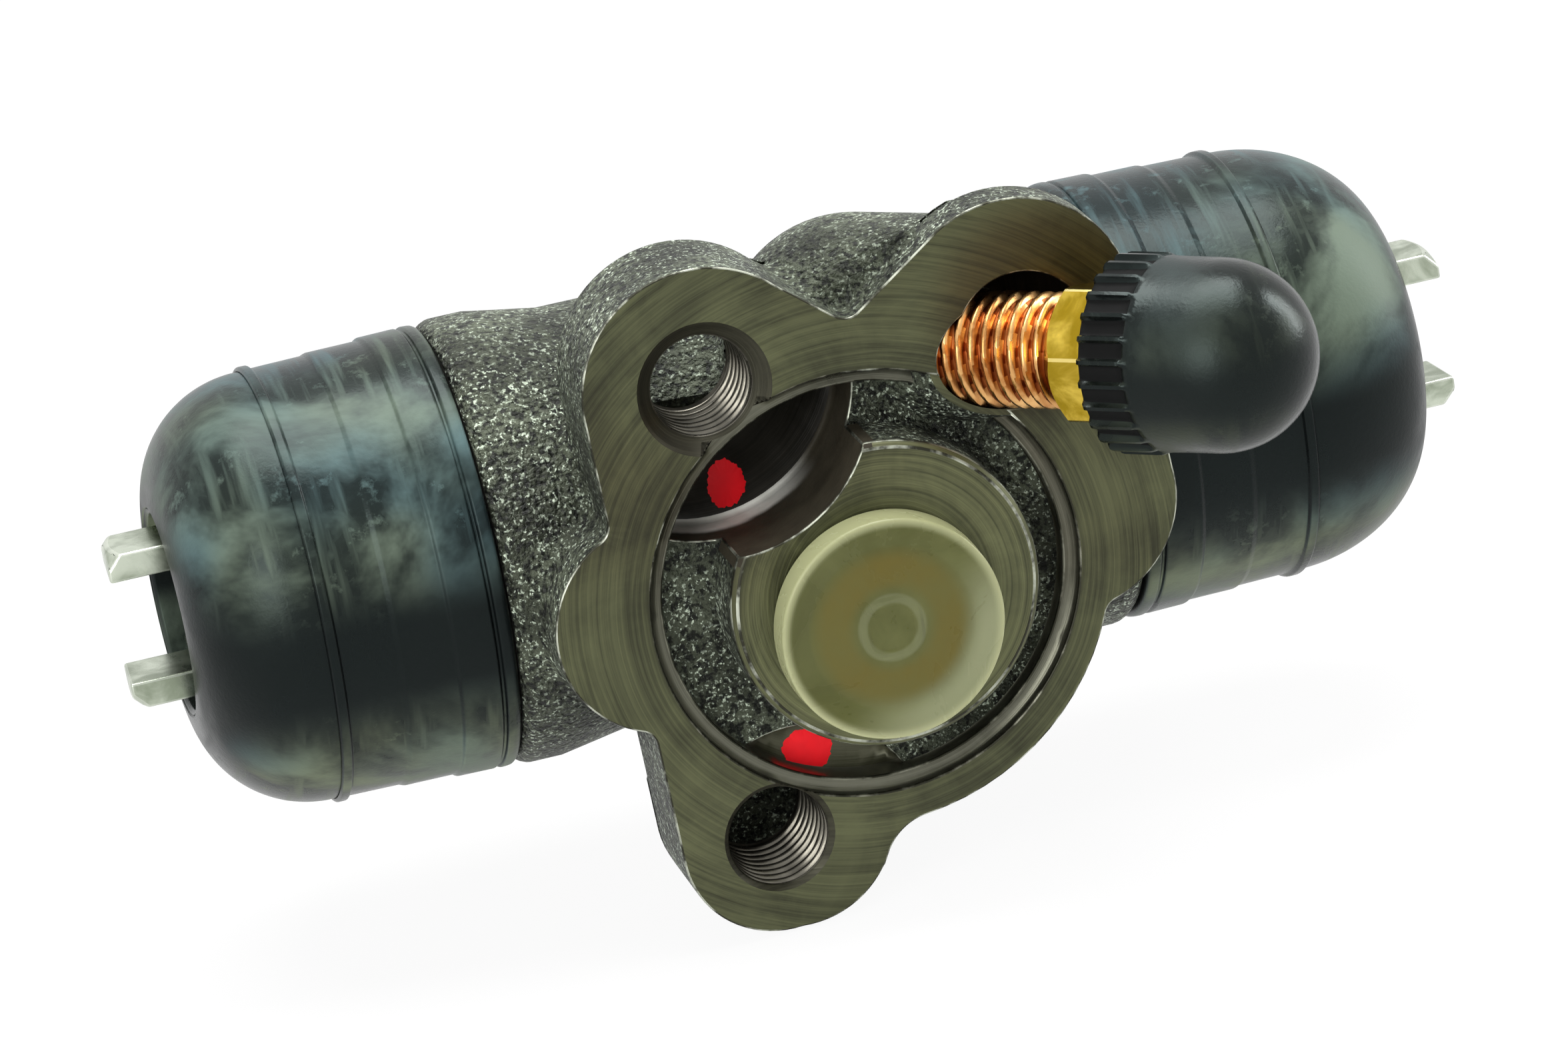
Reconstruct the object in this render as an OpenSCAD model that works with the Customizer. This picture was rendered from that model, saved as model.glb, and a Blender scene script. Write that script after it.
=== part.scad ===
// Drum brake wheel cylinder with two opposed pistons
// Origin on the pilot boss axis, in the plane of the mounting face. X runs along the bore,
// the mounting face looks towards -Y, Z is up.

/* [Bore and tube] */
// Diameter of the bore
bore_d = 25.4; // [24.4:0.1:26.4]
// Depth of the bore axis behind the mounting face
bore_setback = 24.6; // [24:0.1:28]
// Height of the bore axis above the pilot axis
bore_rise = 3.4; // [2.5:0.1:5]
// Middle of the tube along the bore, from the pilot axis
tube_shift = -2.3; // [-4:0.1:0]
// Length of the tube from end to end
tube_length = 75; // [72:0.5:84]
// Wall of the tube at its waist
waist_wall = 5.7; // [4.8:0.1:6.4]
// Wall of the tube at the cast collars
collar_wall = 6.8; // [6:0.1:8]
// Width of each collar along the bore
collar_width = 4.1; // [3:0.1:6]
// Wall of the spigots that carry the boots
spigot_wall = 3.9; // [3.4:0.1:4.6]
// Length of each spigot
spigot_length = 9.9; // [9:0.1:12]
// Width of the boot groove in each spigot
groove_width = 2.4; // [2:0.1:3]
// Depth of the boot groove
groove_depth = 1.4; // [1:0.1:1.8]

/* [Mounting flange] */
// Depth of the flange behind its face
flange_depth = 10; // [9:0.5:12]
// Depth of the lobe around the bleed screw
thin_depth = 4.5; // [3.5:0.1:6]
// Distance between the two bolt holes
bolt_spacing = 40; // [38:0.5:44]
// Bolt holes from the pilot axis, along the bore
bolt_shift = -11.7; // [-13:0.1:-10]
// Nominal diameter of the bolt and bleed screw threads
thread_d = 10; // [8:0.5:10.5]
// Wall left inside the thread diameter by the tapping drill
tap_inset = 0.75; // [0.5:0.05:0.8]
// Chamfer at the mouth of the upper bolt hole
upper_chamfer = 1.5; // [0.5:0.1:1.8]
// Chamfer at the mouth of the lower bolt hole
lower_chamfer = 0.55; // [0.2:0.05:1]
// Depth of the lower bolt hole, which is blind
blind_depth = 11; // [9:0.5:13]
// Radius of the lobe around the upper bolt hole
upper_lobe_r = 10.4; // [9.5:0.1:12]
// Radius of the lobe around the lower bolt hole
lower_lobe_r = 8.4; // [8:0.1:10]
// Extra width of the lower lobe, towards the pilot
lower_stretch = 1.5; // [0:0.1:3]
// Radius of the round part of the flange
round_r = 21.2; // [20:0.1:23]
// Reach of the bulge on the left, from the pilot axis
left_reach = 27.6; // [26.5:0.1:29]
// Reach of the bulge on the right, from the pilot axis
right_reach = 26.8; // [26:0.1:29]
// Radius of the bulges
bulge_r = 9.4; // [8.5:0.1:11]
// Radius of the valleys between the lobes
valley_r = 1.6; // [1:0.1:3]
// Radius of the hollow between the lower lobe and the round part
fillet_r = 4.8; // [3:0.1:7]

/* [Pilot and recess] */
// Diameter of the pilot boss
pilot_d = 26.6; // [25:0.1:28]
// Height of the pilot boss over the mounting face
pilot_height = 3.2; // [2:0.1:5]
// Diameter of the turned recess around the pilot
recess_d = 37; // [36:0.1:39]
// Depth of the narrow ledge at the rim of the recess
ledge_depth = 1; // [0.5:0.1:1.6]
// Width of that ledge
ledge_width = 1.2; // [0.6:0.1:2]
// Depth of the cast floor of the recess
floor_depth = 2.8; // [2:0.1:4]
// Recess axis from the pilot axis, along the bore
recess_shift = -0.85; // [-1.2:0.05:0]
// Radius of the pocket at the upper bolt hole
pocket_r = 12.7; // [11.5:0.1:13]
// Pocket axis below the upper bolt hole
pocket_lower = 1.2; // [0:0.1:2]
// Depth of that pocket behind the mounting face
pocket_depth = 7.6; // [5:0.1:8]
// Bevel around the bottom of the pocket
pocket_bevel = 0.5; // [0.3:0.1:2]
// Radius of the shallow pad at the lower bolt hole
pad_r = 10.5; // [8:0.1:11]
// Depth of the pad below the cast floor
pad_drop = 1.1; // [0.5:0.1:1.6]

/* [Inlet port and plug] */
// Inlet axis below the pilot axis
inlet_drop = 2; // [0:0.1:3]
// Nominal diameter of the inlet thread
inlet_d = 10; // [8:0.5:11]
// Depth of the inlet port behind the mounting face
inlet_depth = 8; // [6:0.5:9]
// Diameter of the plug's head
plug_d = 19.3; // [17:0.1:20.5]
// Height of the plug's head
plug_height = 3; // [2.4:0.1:4]
// Depth of the dish in the head
plug_dish = 0.6; // [0.4:0.1:1.2]

/* [Bleed screw and cap] */
// Bleed screw mouth from the pilot axis, along the bore
bleed_x = 15.1; // [14:0.1:17]
// Bleed screw axis over the pilot axis
bleed_z = 17.3; // [16.9:0.1:17.6]
// Angle between the bleed screw and the face normal
bleed_angle = 45; // [42:0.5:48]
// Radius of the cast boss behind the bleed screw
bleed_boss_r = 11.2; // [10.5:0.1:12]
// Radius of the flange's lobe around the bleed screw
bleed_lobe_r = 10.4; // [9.5:0.1:11]
// Radius of the spot face at the mouth
mouth_r = 5.6; // [5.2:0.1:6]
// Spot face axis over the bleed screw axis
mouth_rise = 1; // [0.5:0.1:1.5]
// Depth of the spot face
mouth_depth = 4.6; // [3:0.1:5.5]
// Hexagon across flats
hex_af = 11; // [10:0.5:11]
// Start of the hexagon along the screw, from the face
hex_start = 5.2; // [5.1:0.1:6.5]
// Length of the hexagon
hex_length = 4.4; // [4:0.1:5]
// Diameter of the nipple
nipple_d = 6.8; // [6:0.1:7.5]
// Length of the nipple
nipple_length = 10.7; // [8.5:0.1:12]
// Diameter of the cap
cap_d = 16.1; // [14:0.1:17]
// Length of the ribbed band of the cap
band_length = 4.6; // [3:0.1:5]
// Number of ribs around the band
rib_count = 26; // [12:1:36]

/* [Pistons] */
// Tip of the left piston, from the middle of the tube
left_tip = 58.3; // [57:0.1:61]
// Tip of the right piston, from the middle of the tube
right_tip = 61; // [59:0.1:62.5]
// Length of the part of the piston that runs in the bore
piston_length = 22.5; // [21:0.5:24]
// Distance from the piston's shoulder to its tip
stem_length = 22.7; // [21:0.1:24]
// Diameter of the stem
stem_d = 16.5; // [15:0.1:17.5]
// Width of the flat-sided tongue
tongue_width = 6; // [5:0.1:7]
// Height of the tongue over both prongs
tongue_height = 13.9; // [13:0.1:14.6]
// Gap of the shoe slot
slot_gap = 9.1; // [8:0.1:10]
// Depth of the shoe slot
slot_depth = 11.5; // [10.5:0.1:13]
// Slant of the tip
tip_slant = 4; // [0:0.5:8]
// Bevel turned around the tip
tip_bevel = 0.6; // [0.3:0.1:2]

/* [Boots] */
// Radius of the boot at its sleeve
sleeve_r = 18.7; // [18.4:0.1:19.4]
// Distance from the tube's middle to the moulded ridge
ridge_reach = 43.1; // [42:0.1:44]
// Radius of the round shoulder
shoulder_r = 10; // [9.4:0.1:10.1]
// Wall of the boot
boot_wall = 2; // [1.6:0.1:2.4]
// Distance from the boot's mouth to the piston's tip
boot_to_tip = 4.7; // [4.5:0.1:5.5]

/* [Seals and spring] */
// Length of each cup seal
cup_length = 6.5; // [6:0.1:7]
// Thickness of the cup's heel
heel = 2.6; // [2.2:0.1:3]
// Thickness of the expander's metal
expander_sheet = 0.7; // [0.5:0.1:1]
// Diameter of the spring's wire
wire_d = 1.3; // [1:0.1:1.5]
// Mean diameter of the spring
coil_d = 12.4; // [11:0.1:13]
// Number of open coils
coils = 4; // [3:1:6]

/* [Hidden] */
$fn = 72;
cast_color = [0.30, 0.30, 0.27];
steel_color = [0.72, 0.71, 0.68];
rubber_color = [0.10, 0.11, 0.12];
zinc_color = [0.72, 0.58, 0.28];
plug_color = [0.62, 0.60, 0.30];

// Fits
running_gap = 0.04;
thread_gap = 0.08;
free_gap = 0.3;
seat_gap = 0.1;
over = 0.5;

// Tube
bore_r = bore_d / 2;
waist_r = bore_r + waist_wall;
collar_r = bore_r + collar_wall;
spigot_r = bore_r + spigot_wall;
tube_end = tube_length / 2;
collar_end = tube_end - spigot_length;
collar_start = collar_end - collar_width;
waist_end = collar_start - 6.5;
groove_start = collar_end + spigot_length * 0.27;
groove_end = groove_start + groove_width;
mouth_chamfer = 0.8;

// Flange
bolt_z = bolt_spacing / 2;
thread_r = thread_d / 2;
tap_r = thread_r - tap_inset;
lower_depth = blind_depth + 1.8;
round_x = recess_shift;
bleed_lobe_z = bleed_z + 2.7;
valley = [(bolt_shift + bleed_x) / 2 - 0.6, bolt_z + 2.9];
left_flank = [bolt_shift + upper_lobe_r * cos(45), bolt_z + upper_lobe_r * sin(45)];
right_flank = [bleed_x + bleed_lobe_r * cos(128), bleed_lobe_z + bleed_lobe_r * sin(128)];
lobe_at = [bolt_shift + lower_stretch, -bolt_z];
lobe_to_round = [round_x, 0] - lobe_at;
lobe_span = norm(lobe_to_round);
lobe_way = lobe_to_round / lobe_span;
to_lobe = lower_lobe_r + fillet_r;
to_round = round_r + fillet_r;
fillet_along = (pow(to_lobe, 2) - pow(to_round, 2) + pow(lobe_span, 2)) / (2 * lobe_span);
fillet_aside = sqrt(pow(to_lobe, 2) - pow(fillet_along, 2));
fillet_at = lobe_at + fillet_along * lobe_way + fillet_aside * [lobe_way[1], -lobe_way[0]];
recess_r = recess_d / 2;
floor_r = recess_r - ledge_width;
pilot_r = pilot_d / 2;
pad_x = bolt_shift + 2.8;
pad_z = -sqrt(pow(pilot_r + pad_r + 0.1, 2) - pow(pad_x, 2));

// Inlet
inlet_x = -0.5;
inlet_r = inlet_d / 2;
plug_base = pilot_height + seat_gap;
plug_stem_r = inlet_r - thread_gap;

// Bleed screw, measured along its axis from the mounting face, outwards
screw_r = thread_r - thread_gap;
seat_s = -14;
seat_cone = 2.6;
drill_r = 1.5;
bleed_drill_r = max(1, bleed_z - bore_rise - bore_r + 0.6);
drill_reach = (bore_setback - 2.7) / cos(bleed_angle);
boss_reach = 16;
hex_turn = 44;
hex_end = hex_start + hex_length;
hex_r = hex_af / 2 / cos(30);
nipple_r = nipple_d / 2;
nipple_end = hex_end + nipple_length;
cap_start = hex_end + 0.2;
cap_r = cap_d / 2;
rib_rise = 0.3;
flute_r = 0.26 * PI * cap_r / rib_count * 2;
dome_s = max(cap_start + band_length + 4, nipple_end - 1.2);

// Pistons, measured along the bore from the tip towards the middle
piston_r = bore_r - running_gap;
stem_r = stem_d / 2;
tongue_root = boot_to_tip + 1.7;
tip_drop = tongue_width / 2 * tan(tip_slant);
stem_groove_end = tongue_root + 0.8;
stem_groove_width = 2.6;
stem_groove_r = stem_r - 0.9;
heel_back = stem_length + piston_length;

// Boots
boot_start = collar_end + 0.2;
boot_bore_r = spigot_r + 0.05;
lip_r = sleeve_r + 0.6;
relief_r = lip_r + 0.5;
shoulder_in_r = sleeve_r - shoulder_r;
cavity_r = sleeve_r - boot_wall;
left_boot_end = left_tip - boot_to_tip;
right_boot_end = right_tip - boot_to_tip;

// Seals and spring
left_heel = left_tip - heel_back;
right_heel = right_tip - heel_back;
seal_r = bore_r - running_gap;
spring_from = -left_heel + heel + expander_sheet + 0.35 + wire_d / 2;
spring_to = right_heel - heel - expander_sheet - 0.35 - wire_d / 2;

// Frames of reference

// The child's Z axis becomes the bore axis
module along_bore() {
    translate([tube_shift, bore_setback, bore_rise])
        rotate([0, 90, 0])
            children();
}

// The same, pointing to the left
module along_bore_left() {
    translate([tube_shift, bore_setback, bore_rise])
        rotate([0, -90, 0])
            children();
}

// A flat shape drawn in X and Z, as deep as the two Y values given
module on_face(front, back) {
    translate([0, back, 0])
        rotate([90, 0, 0])
            linear_extrude(back - front)
                children();
}

// The child's Z axis leaves the mounting face at a right angle
module off_face(x, z) {
    translate([x, 0, z])
        rotate([90, 0, 0])
            children();
}

// The child's Z axis becomes the bleed screw's axis, outwards
module along_bleed() {
    translate([bleed_x, 0, bleed_z])
        rotate([90, 0, bleed_angle])
            children();
}

// Cast body

module tube_half() {
    rotate_extrude()
        polygon([
            [0, -over],
            [waist_r, -over],
            [waist_r, waist_end],
            [collar_r, collar_start],
            [collar_r, collar_end - 0.8],
            [collar_r - 0.8, collar_end],
            [spigot_r, collar_end],
            [spigot_r, groove_start],
            [spigot_r - groove_depth, groove_start],
            [spigot_r - groove_depth, groove_end],
            [spigot_r, groove_end],
            [spigot_r, tube_end - mouth_chamfer],
            [spigot_r - mouth_chamfer, tube_end],
            [0, tube_end]
        ]);
}

module bore_cut() {
    rotate_extrude()
        polygon([
            [0, -tube_end - over],
            [bore_r + mouth_chamfer + over, -tube_end - over],
            [bore_r, -tube_end + mouth_chamfer],
            [bore_r, tube_end - mouth_chamfer],
            [bore_r + mouth_chamfer + over, tube_end + over],
            [0, tube_end + over]
        ]);
}

module rounded_valleys() {
    offset(r = -valley_r)
        offset(delta = valley_r)
            children();
}

module flange_outline() {
    rounded_valleys()
        union() {
            translate([round_x, 0])
                circle(round_r);
            translate([bolt_shift, bolt_z])
                circle(upper_lobe_r);
            translate([bolt_shift, -bolt_z])
                circle(lower_lobe_r);
            translate([bolt_shift + lower_stretch, -bolt_z])
                circle(lower_lobe_r);
            translate([bulge_r - left_reach, 0.7])
                circle(bulge_r);
            translate([right_reach - bulge_r, 2.8])
                circle(bulge_r);
            translate([bleed_x, bleed_lobe_z])
                circle(bleed_lobe_r);
            polygon([
                [bolt_shift - upper_lobe_r, bolt_z],
                [bolt_shift, bolt_z],
                left_flank,
                valley,
                right_flank,
                [bleed_x, bleed_lobe_z],
                [bleed_x + bleed_lobe_r, bleed_lobe_z],
                [right_reach, 2.8],
                [0, 0],
                lobe_at,
                [bolt_shift - lower_lobe_r, -bolt_z]
            ]);
            difference() {
                polygon([lobe_at, [round_x, 0], fillet_at]);
                translate(fillet_at)
                    circle(fillet_r);
            }
        }
}

// Space behind the lobe of the bleed screw, where the flange is thin
module thin_cut() {
    on_face(thin_depth, flange_depth + over)
        polygon([
            valley,
            [valley[0], 3 * bleed_z],
            [2 * right_reach, 3 * bleed_z],
            [2 * right_reach, bulge_r + 2.8],
            [right_reach, bulge_r + 2.8]
        ]);
}

module flange() {
    difference() {
        on_face(0, flange_depth)
            flange_outline();
        thin_cut();
        along_bore()
            boot_relief();
    }
    on_face(flange_depth - over, lower_depth)
        translate([bolt_shift - 0.2, 0.8 - bolt_z])
            circle(lower_lobe_r - 1);
}

module bleed_boss() {
    intersection() {
        along_bleed() {
            translate([0, 0, -boss_reach])
                cylinder(r = bleed_boss_r, h = boss_reach + 8);
            translate([0, 0, -boss_reach])
                sphere(bleed_boss_r);
        }
        on_face(thin_depth - over, bore_setback)
            translate([-2 * bleed_boss_r, 0])
                square([4 * bleed_boss_r, 3 * bleed_z]);
    }
}

// Space swept by the turning of a spigot, in which a boot sits
module boot_relief() {
    translate([0, 0, collar_end])
        cylinder(r = relief_r, h = spigot_length);
}

module recess() {
    off_face(recess_shift, 0.2) {
        translate([0, 0, -ledge_depth])
            cylinder(r = recess_r, h = ledge_depth + over);
        translate([0, 0, -floor_depth])
            cylinder(r = floor_r, h = floor_depth + over);
    }
}

module pilot_boss() {
    off_face(0, 0)
        rotate_extrude()
            polygon([
                [0, -pocket_depth - 1],
                [pilot_r, -pocket_depth - 1],
                [pilot_r, pilot_height - 0.5],
                [pilot_r - 0.5, pilot_height],
                [0, pilot_height]
            ]);
}

module pocket() {
    intersection() {
        off_face(bolt_shift + 0.3, bolt_z - pocket_lower)
            rotate_extrude()
                polygon([
                    [0, -pocket_depth],
                    [pocket_r - pocket_bevel, -pocket_depth],
                    [pocket_r, pocket_bevel - pocket_depth],
                    [pocket_r, pilot_height + over],
                    [0, pilot_height + over]
                ]);
        off_face(recess_shift, 0.2)
            translate([0, 0, -pocket_depth - over])
                cylinder(r = floor_r, h = pocket_depth + pilot_height + 3 * over);
    }
}

module pad_shape() {
    intersection() {
        translate([pad_x, pad_z])
            circle(pad_r);
        translate([recess_shift, 0.2])
            circle(floor_r);
    }
}

module bolt_hole(z, depth, chamfer) {
    off_face(bolt_shift, z) {
        translate([0, 0, -depth])
            cylinder(r = tap_r, h = depth + over);
        translate([0, 0, -chamfer])
            cylinder(r1 = tap_r, r2 = tap_r + chamfer + over, h = chamfer + over);
    }
}

module inlet_port() {
    off_face(inlet_x, -inlet_drop) {
        translate([0, 0, -inlet_depth])
            cylinder(r = inlet_r, h = inlet_depth + pilot_height + over);
        translate([0, 0, -bore_setback])
            cylinder(r = drill_r, h = bore_setback);
    }
}

module bleed_port() {
    off_face(bleed_x + mouth_rise / 2, bleed_z + mouth_rise)
        translate([0, 0, -mouth_depth])
            cylinder(r = mouth_r, h = mouth_depth + over);
    along_bleed() {
        translate([0, 0, seat_s])
            cylinder(r = thread_r, h = thread_r + 2 - seat_s);
        translate([0, 0, seat_s - seat_cone])
            cylinder(r1 = bleed_drill_r, r2 = thread_r - 0.4, h = seat_cone + 0.01);
        translate([0, 0, -drill_reach])
            cylinder(r = bleed_drill_r, h = drill_reach + seat_s - 1);
    }
}

module cylinder_body() {
    color(cast_color)
        difference() {
            union() {
                difference() {
                    union() {
                        along_bore()
                            tube_half();
                        along_bore_left()
                            tube_half();
                        flange();
                        bleed_boss();
                    }
                    recess();
                }
                pilot_boss();
            }
            along_bore()
                bore_cut();
            pocket();
            on_face(-over, floor_depth + pad_drop)
                pad_shape();
            bolt_hole(bolt_z, flange_depth + over, upper_chamfer);
            bolt_hole(-bolt_z, blind_depth, lower_chamfer);
            inlet_port();
            bleed_port();
        }
}

// Pistons

module piston(tip) {
    difference() {
        union() {
            translate([0, 0, tip - heel_back])
                rotate_extrude()
                    polygon([
                        [0, 0],
                        [piston_r - 0.8, 0],
                        [piston_r, 0.8],
                        [piston_r, piston_length - 0.6],
                        [piston_r - 0.6, piston_length],
                        [stem_r, piston_length],
                        [stem_r, heel_back - stem_groove_end - stem_groove_width],
                        [stem_groove_r, heel_back - stem_groove_end - stem_groove_width],
                        [stem_groove_r, heel_back - stem_groove_end],
                        [stem_r, heel_back - stem_groove_end],
                        [stem_r, heel_back - tongue_root],
                        [0, heel_back - tongue_root]
                    ]);
            translate([0, 0, tip - tongue_root - 1])
                translate([-tongue_height / 2, -tongue_width / 2, 0])
                    cube([tongue_height, tongue_width, tongue_root + 1]);
        }
        translate([-slot_gap / 2, -stem_r - over, tip - slot_depth])
            cube([slot_gap, 2 * stem_r + 2 * over, slot_depth + over]);
        rotate_extrude()
            polygon([
                [tongue_height / 2 - tip_bevel, tip],
                [tongue_height / 2 + 2, tip - tip_bevel - 2],
                [tongue_height / 2 + 2, tip + over],
                [tongue_height / 2 - tip_bevel, tip + over]
            ]);
    }
}

// Space beyond the slanted tip
module tip_cut(tip, slant) {
    translate([0, 0, tip])
        rotate([-slant, 0, 0])
            translate([-stem_r - over, -2 * stem_r, 0])
                cube([2 * stem_r + 2 * over, 4 * stem_r, 6]);
}

module left_piston() {
    color(steel_color)
        along_bore_left()
            difference() {
                piston(left_tip);
                tip_cut(left_tip - tip_drop, tip_slant);
            }
}

module right_piston() {
    color(steel_color)
        along_bore()
            difference() {
                piston(right_tip);
                tip_cut(right_tip - tip_drop, tip_slant);
            }
}

// Seals, expanders and spring

module cup_profile(at) {
    translate([0, at - cup_length])
        polygon([
            [0, cup_length],
            [seal_r - 0.6, cup_length],
            [seal_r - 0.3, cup_length - heel],
            [seal_r, 0.6],
            [seal_r - 0.4, 0],
            [seal_r - 1.3, 0],
            [seal_r - 3.6, cup_length - heel],
            [0, cup_length - heel]
        ]);
}

module expander_profile(at) {
    translate([0, at - cup_length])
        polygon([
            [2, cup_length - heel - 0.2],
            [seal_r - 4.5, cup_length - heel - 0.2],
            [seal_r - 2.3, 0.4],
            [seal_r - 2.3 - expander_sheet * 1.2, 0.4],
            [seal_r - 4.8 - expander_sheet * 0.6, cup_length - heel - 0.2 - expander_sheet],
            [2, cup_length - heel - 0.2 - expander_sheet]
        ]);
}

module left_cup_seal() {
    color(rubber_color)
        along_bore_left()
            rotate_extrude()
                cup_profile(left_heel);
}

module right_cup_seal() {
    color(rubber_color)
        along_bore()
            rotate_extrude()
                cup_profile(right_heel);
}

module left_cup_expander() {
    color(steel_color)
        along_bore_left()
            rotate_extrude()
                expander_profile(left_heel);
}

module right_cup_expander() {
    color(steel_color)
        along_bore()
            rotate_extrude()
                expander_profile(right_heel);
}

// Wire axis of the spring: one closed coil at each end, open coils between
turns = coils + 2;
steps_per_turn = 20;
wire_sides = 8;
ring_count = turns * steps_per_turn + 1;
closed_pitch = wire_d * 1.06;
open_pitch = (spring_to - spring_from - 2 * closed_pitch) / coils;
function climb(t) =
    t < 1 ? t * closed_pitch
    : t > turns - 1 ? spring_to - spring_from - (turns - t) * closed_pitch
    : closed_pitch + (t - 1) * open_pitch;
function wire_point(i, j) =
    let (t = i / steps_per_turn, a = 360 * t, w = 360 * j / wire_sides,
         r = coil_d / 2 + wire_d / 2 * cos(w))
    [r * cos(a), r * sin(a), spring_from + climb(t) + wire_d / 2 * sin(w)];
wire_points = [for (i = [0 : ring_count - 1]) for (j = [0 : wire_sides - 1]) wire_point(i, j)];
wire_faces = concat(
    [for (i = [0 : ring_count - 2]) for (j = [0 : wire_sides - 1])
        let (a = i * wire_sides + j, b = i * wire_sides + (j + 1) % wire_sides)
        [a, a + wire_sides, b + wire_sides]],
    [for (i = [0 : ring_count - 2]) for (j = [0 : wire_sides - 1])
        let (a = i * wire_sides + j, b = i * wire_sides + (j + 1) % wire_sides)
        [a, b + wire_sides, b]],
    [[for (j = [0 : wire_sides - 1]) j]],
    [[for (j = [wire_sides - 1 : -1 : 0]) (ring_count - 1) * wire_sides + j]]
);

module return_spring() {
    color(steel_color)
        along_bore()
            polyhedron(points = wire_points, faces = wire_faces, convexity = 10);
}

// Boots

// Points on the round shoulder, from the ridge to the boot's mouth
function shoulder(end) = [
    for (a = [0 : 7.5 : 90])
        [shoulder_in_r + shoulder_r * cos(a), ridge_reach + (end - ridge_reach) * sin(a)]
];

module boot_outer(end) {
    polygon(concat(
        [
            [0, boot_start],
            [lip_r, boot_start],
            [lip_r, groove_end],
            [lip_r - 0.25, groove_end],
            [lip_r - 0.25, tube_end],
            [sleeve_r, tube_end + 0.2]
        ],
        shoulder(end),
        [[0, end]]
    ));
    translate([0, ridge_reach - 0.7])
        square([sleeve_r + 0.35, 1]);
}

module boot_inner(end) {
    hollow_at = end - shoulder_r - 1.8;
    translate([0, boot_start - over])
        square([boot_bore_r, tube_end + free_gap - boot_start + over]);
    translate([0, tube_end])
        square([cavity_r, max(0.2, hollow_at - tube_end)]);
    intersection() {
        translate([shoulder_in_r, hollow_at])
            circle(shoulder_r - boot_wall);
        translate([0, hollow_at - 0.2])
            square([sleeve_r, shoulder_r]);
    }
    translate([0, hollow_at - 0.2])
        square([shoulder_in_r, shoulder_r - boot_wall + 0.2]);
    square([stem_r + free_gap, end + over]);
}

module boot_beads(tip) {
    translate([spigot_r - groove_depth + 0.15, groove_start + 0.15])
        square([groove_depth + 0.4, groove_width - 0.3]);
    translate([stem_groove_r + free_gap, tip - stem_groove_end - stem_groove_width + free_gap])
        square([stem_r - stem_groove_r + 1, stem_groove_width - 2 * free_gap]);
}

module boot(tip) {
    rotate_extrude() {
        difference() {
            boot_outer(tip - boot_to_tip);
            boot_inner(tip - boot_to_tip);
        }
        boot_beads(tip);
    }
}

module left_dust_boot() {
    color(rubber_color)
        along_bore_left()
            boot(left_tip);
}

module right_dust_boot() {
    color(rubber_color)
        along_bore()
            boot(right_tip);
}

// Bleed screw, cap and inlet plug

module bleed_screw() {
    color(zinc_color)
        along_bleed()
            difference() {
                union() {
                    translate([0, 0, seat_s])
                        cylinder(r = screw_r, h = hex_start - seat_s + over);
                    translate([0, 0, seat_s - seat_cone + 0.3])
                        cylinder(r1 = drill_r, r2 = thread_r - 0.6, h = seat_cone - 0.3 + over);
                    intersection() {
                        translate([0, 0, hex_start])
                            rotate([0, 0, hex_turn])
                                cylinder(r = hex_r, h = hex_length, $fn = 6);
                        translate([0, 0, hex_start])
                            cylinder(r1 = screw_r, r2 = screw_r + 1.2 * hex_length, h = hex_length);
                    }
                    rotate_extrude()
                        polygon([
                            [0, hex_start + over],
                            [nipple_r - 0.4, hex_start + over],
                            [nipple_r - 0.4, nipple_end - 5],
                            [nipple_r + 0.5, nipple_end - 4.6],
                            [nipple_r - 0.7, nipple_end],
                            [0, nipple_end]
                        ]);
                }
                translate([0, 0, seat_s + 3])
                    cylinder(r = 1.1, h = nipple_end - seat_s);
                translate([0, 0, seat_s + 4.2])
                    rotate([90, 0, 0])
                        cylinder(r = 0.9, h = thread_d + 2, center = true);
            }
}

// Ribs around the band of the cap, with round flutes between them
module fluted_ring() {
    difference() {
        circle(cap_r + rib_rise);
        for (i = [0 : rib_count - 1])
            rotate(360 * i / rib_count)
                translate([cap_r + rib_rise, 0])
                    circle(flute_r);
    }
}

module bleed_screw_cap() {
    color(rubber_color)
        along_bleed()
            difference() {
                union() {
                    rotate_extrude()
                        intersection() {
                            union() {
                                translate([0, dome_s])
                                    circle(cap_r);
                                translate([0, cap_start + 0.4])
                                    square([cap_r, dome_s - cap_start - 0.4]);
                            }
                            translate([0, cap_start + 0.4])
                                square([cap_r + 1, dome_s + cap_r]);
                        }
                    translate([0, 0, cap_start])
                        linear_extrude(band_length)
                            fluted_ring();
                }
                rotate_extrude()
                    polygon([
                        [0, cap_start - over],
                        [nipple_r + 1.4, cap_start - over],
                        [nipple_r + 0.8, cap_start + 1],
                        [nipple_r + 0.8, nipple_end + 0.6],
                        [0, nipple_end + 0.6 + nipple_r * 0.6]
                    ]);
            }
}

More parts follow.
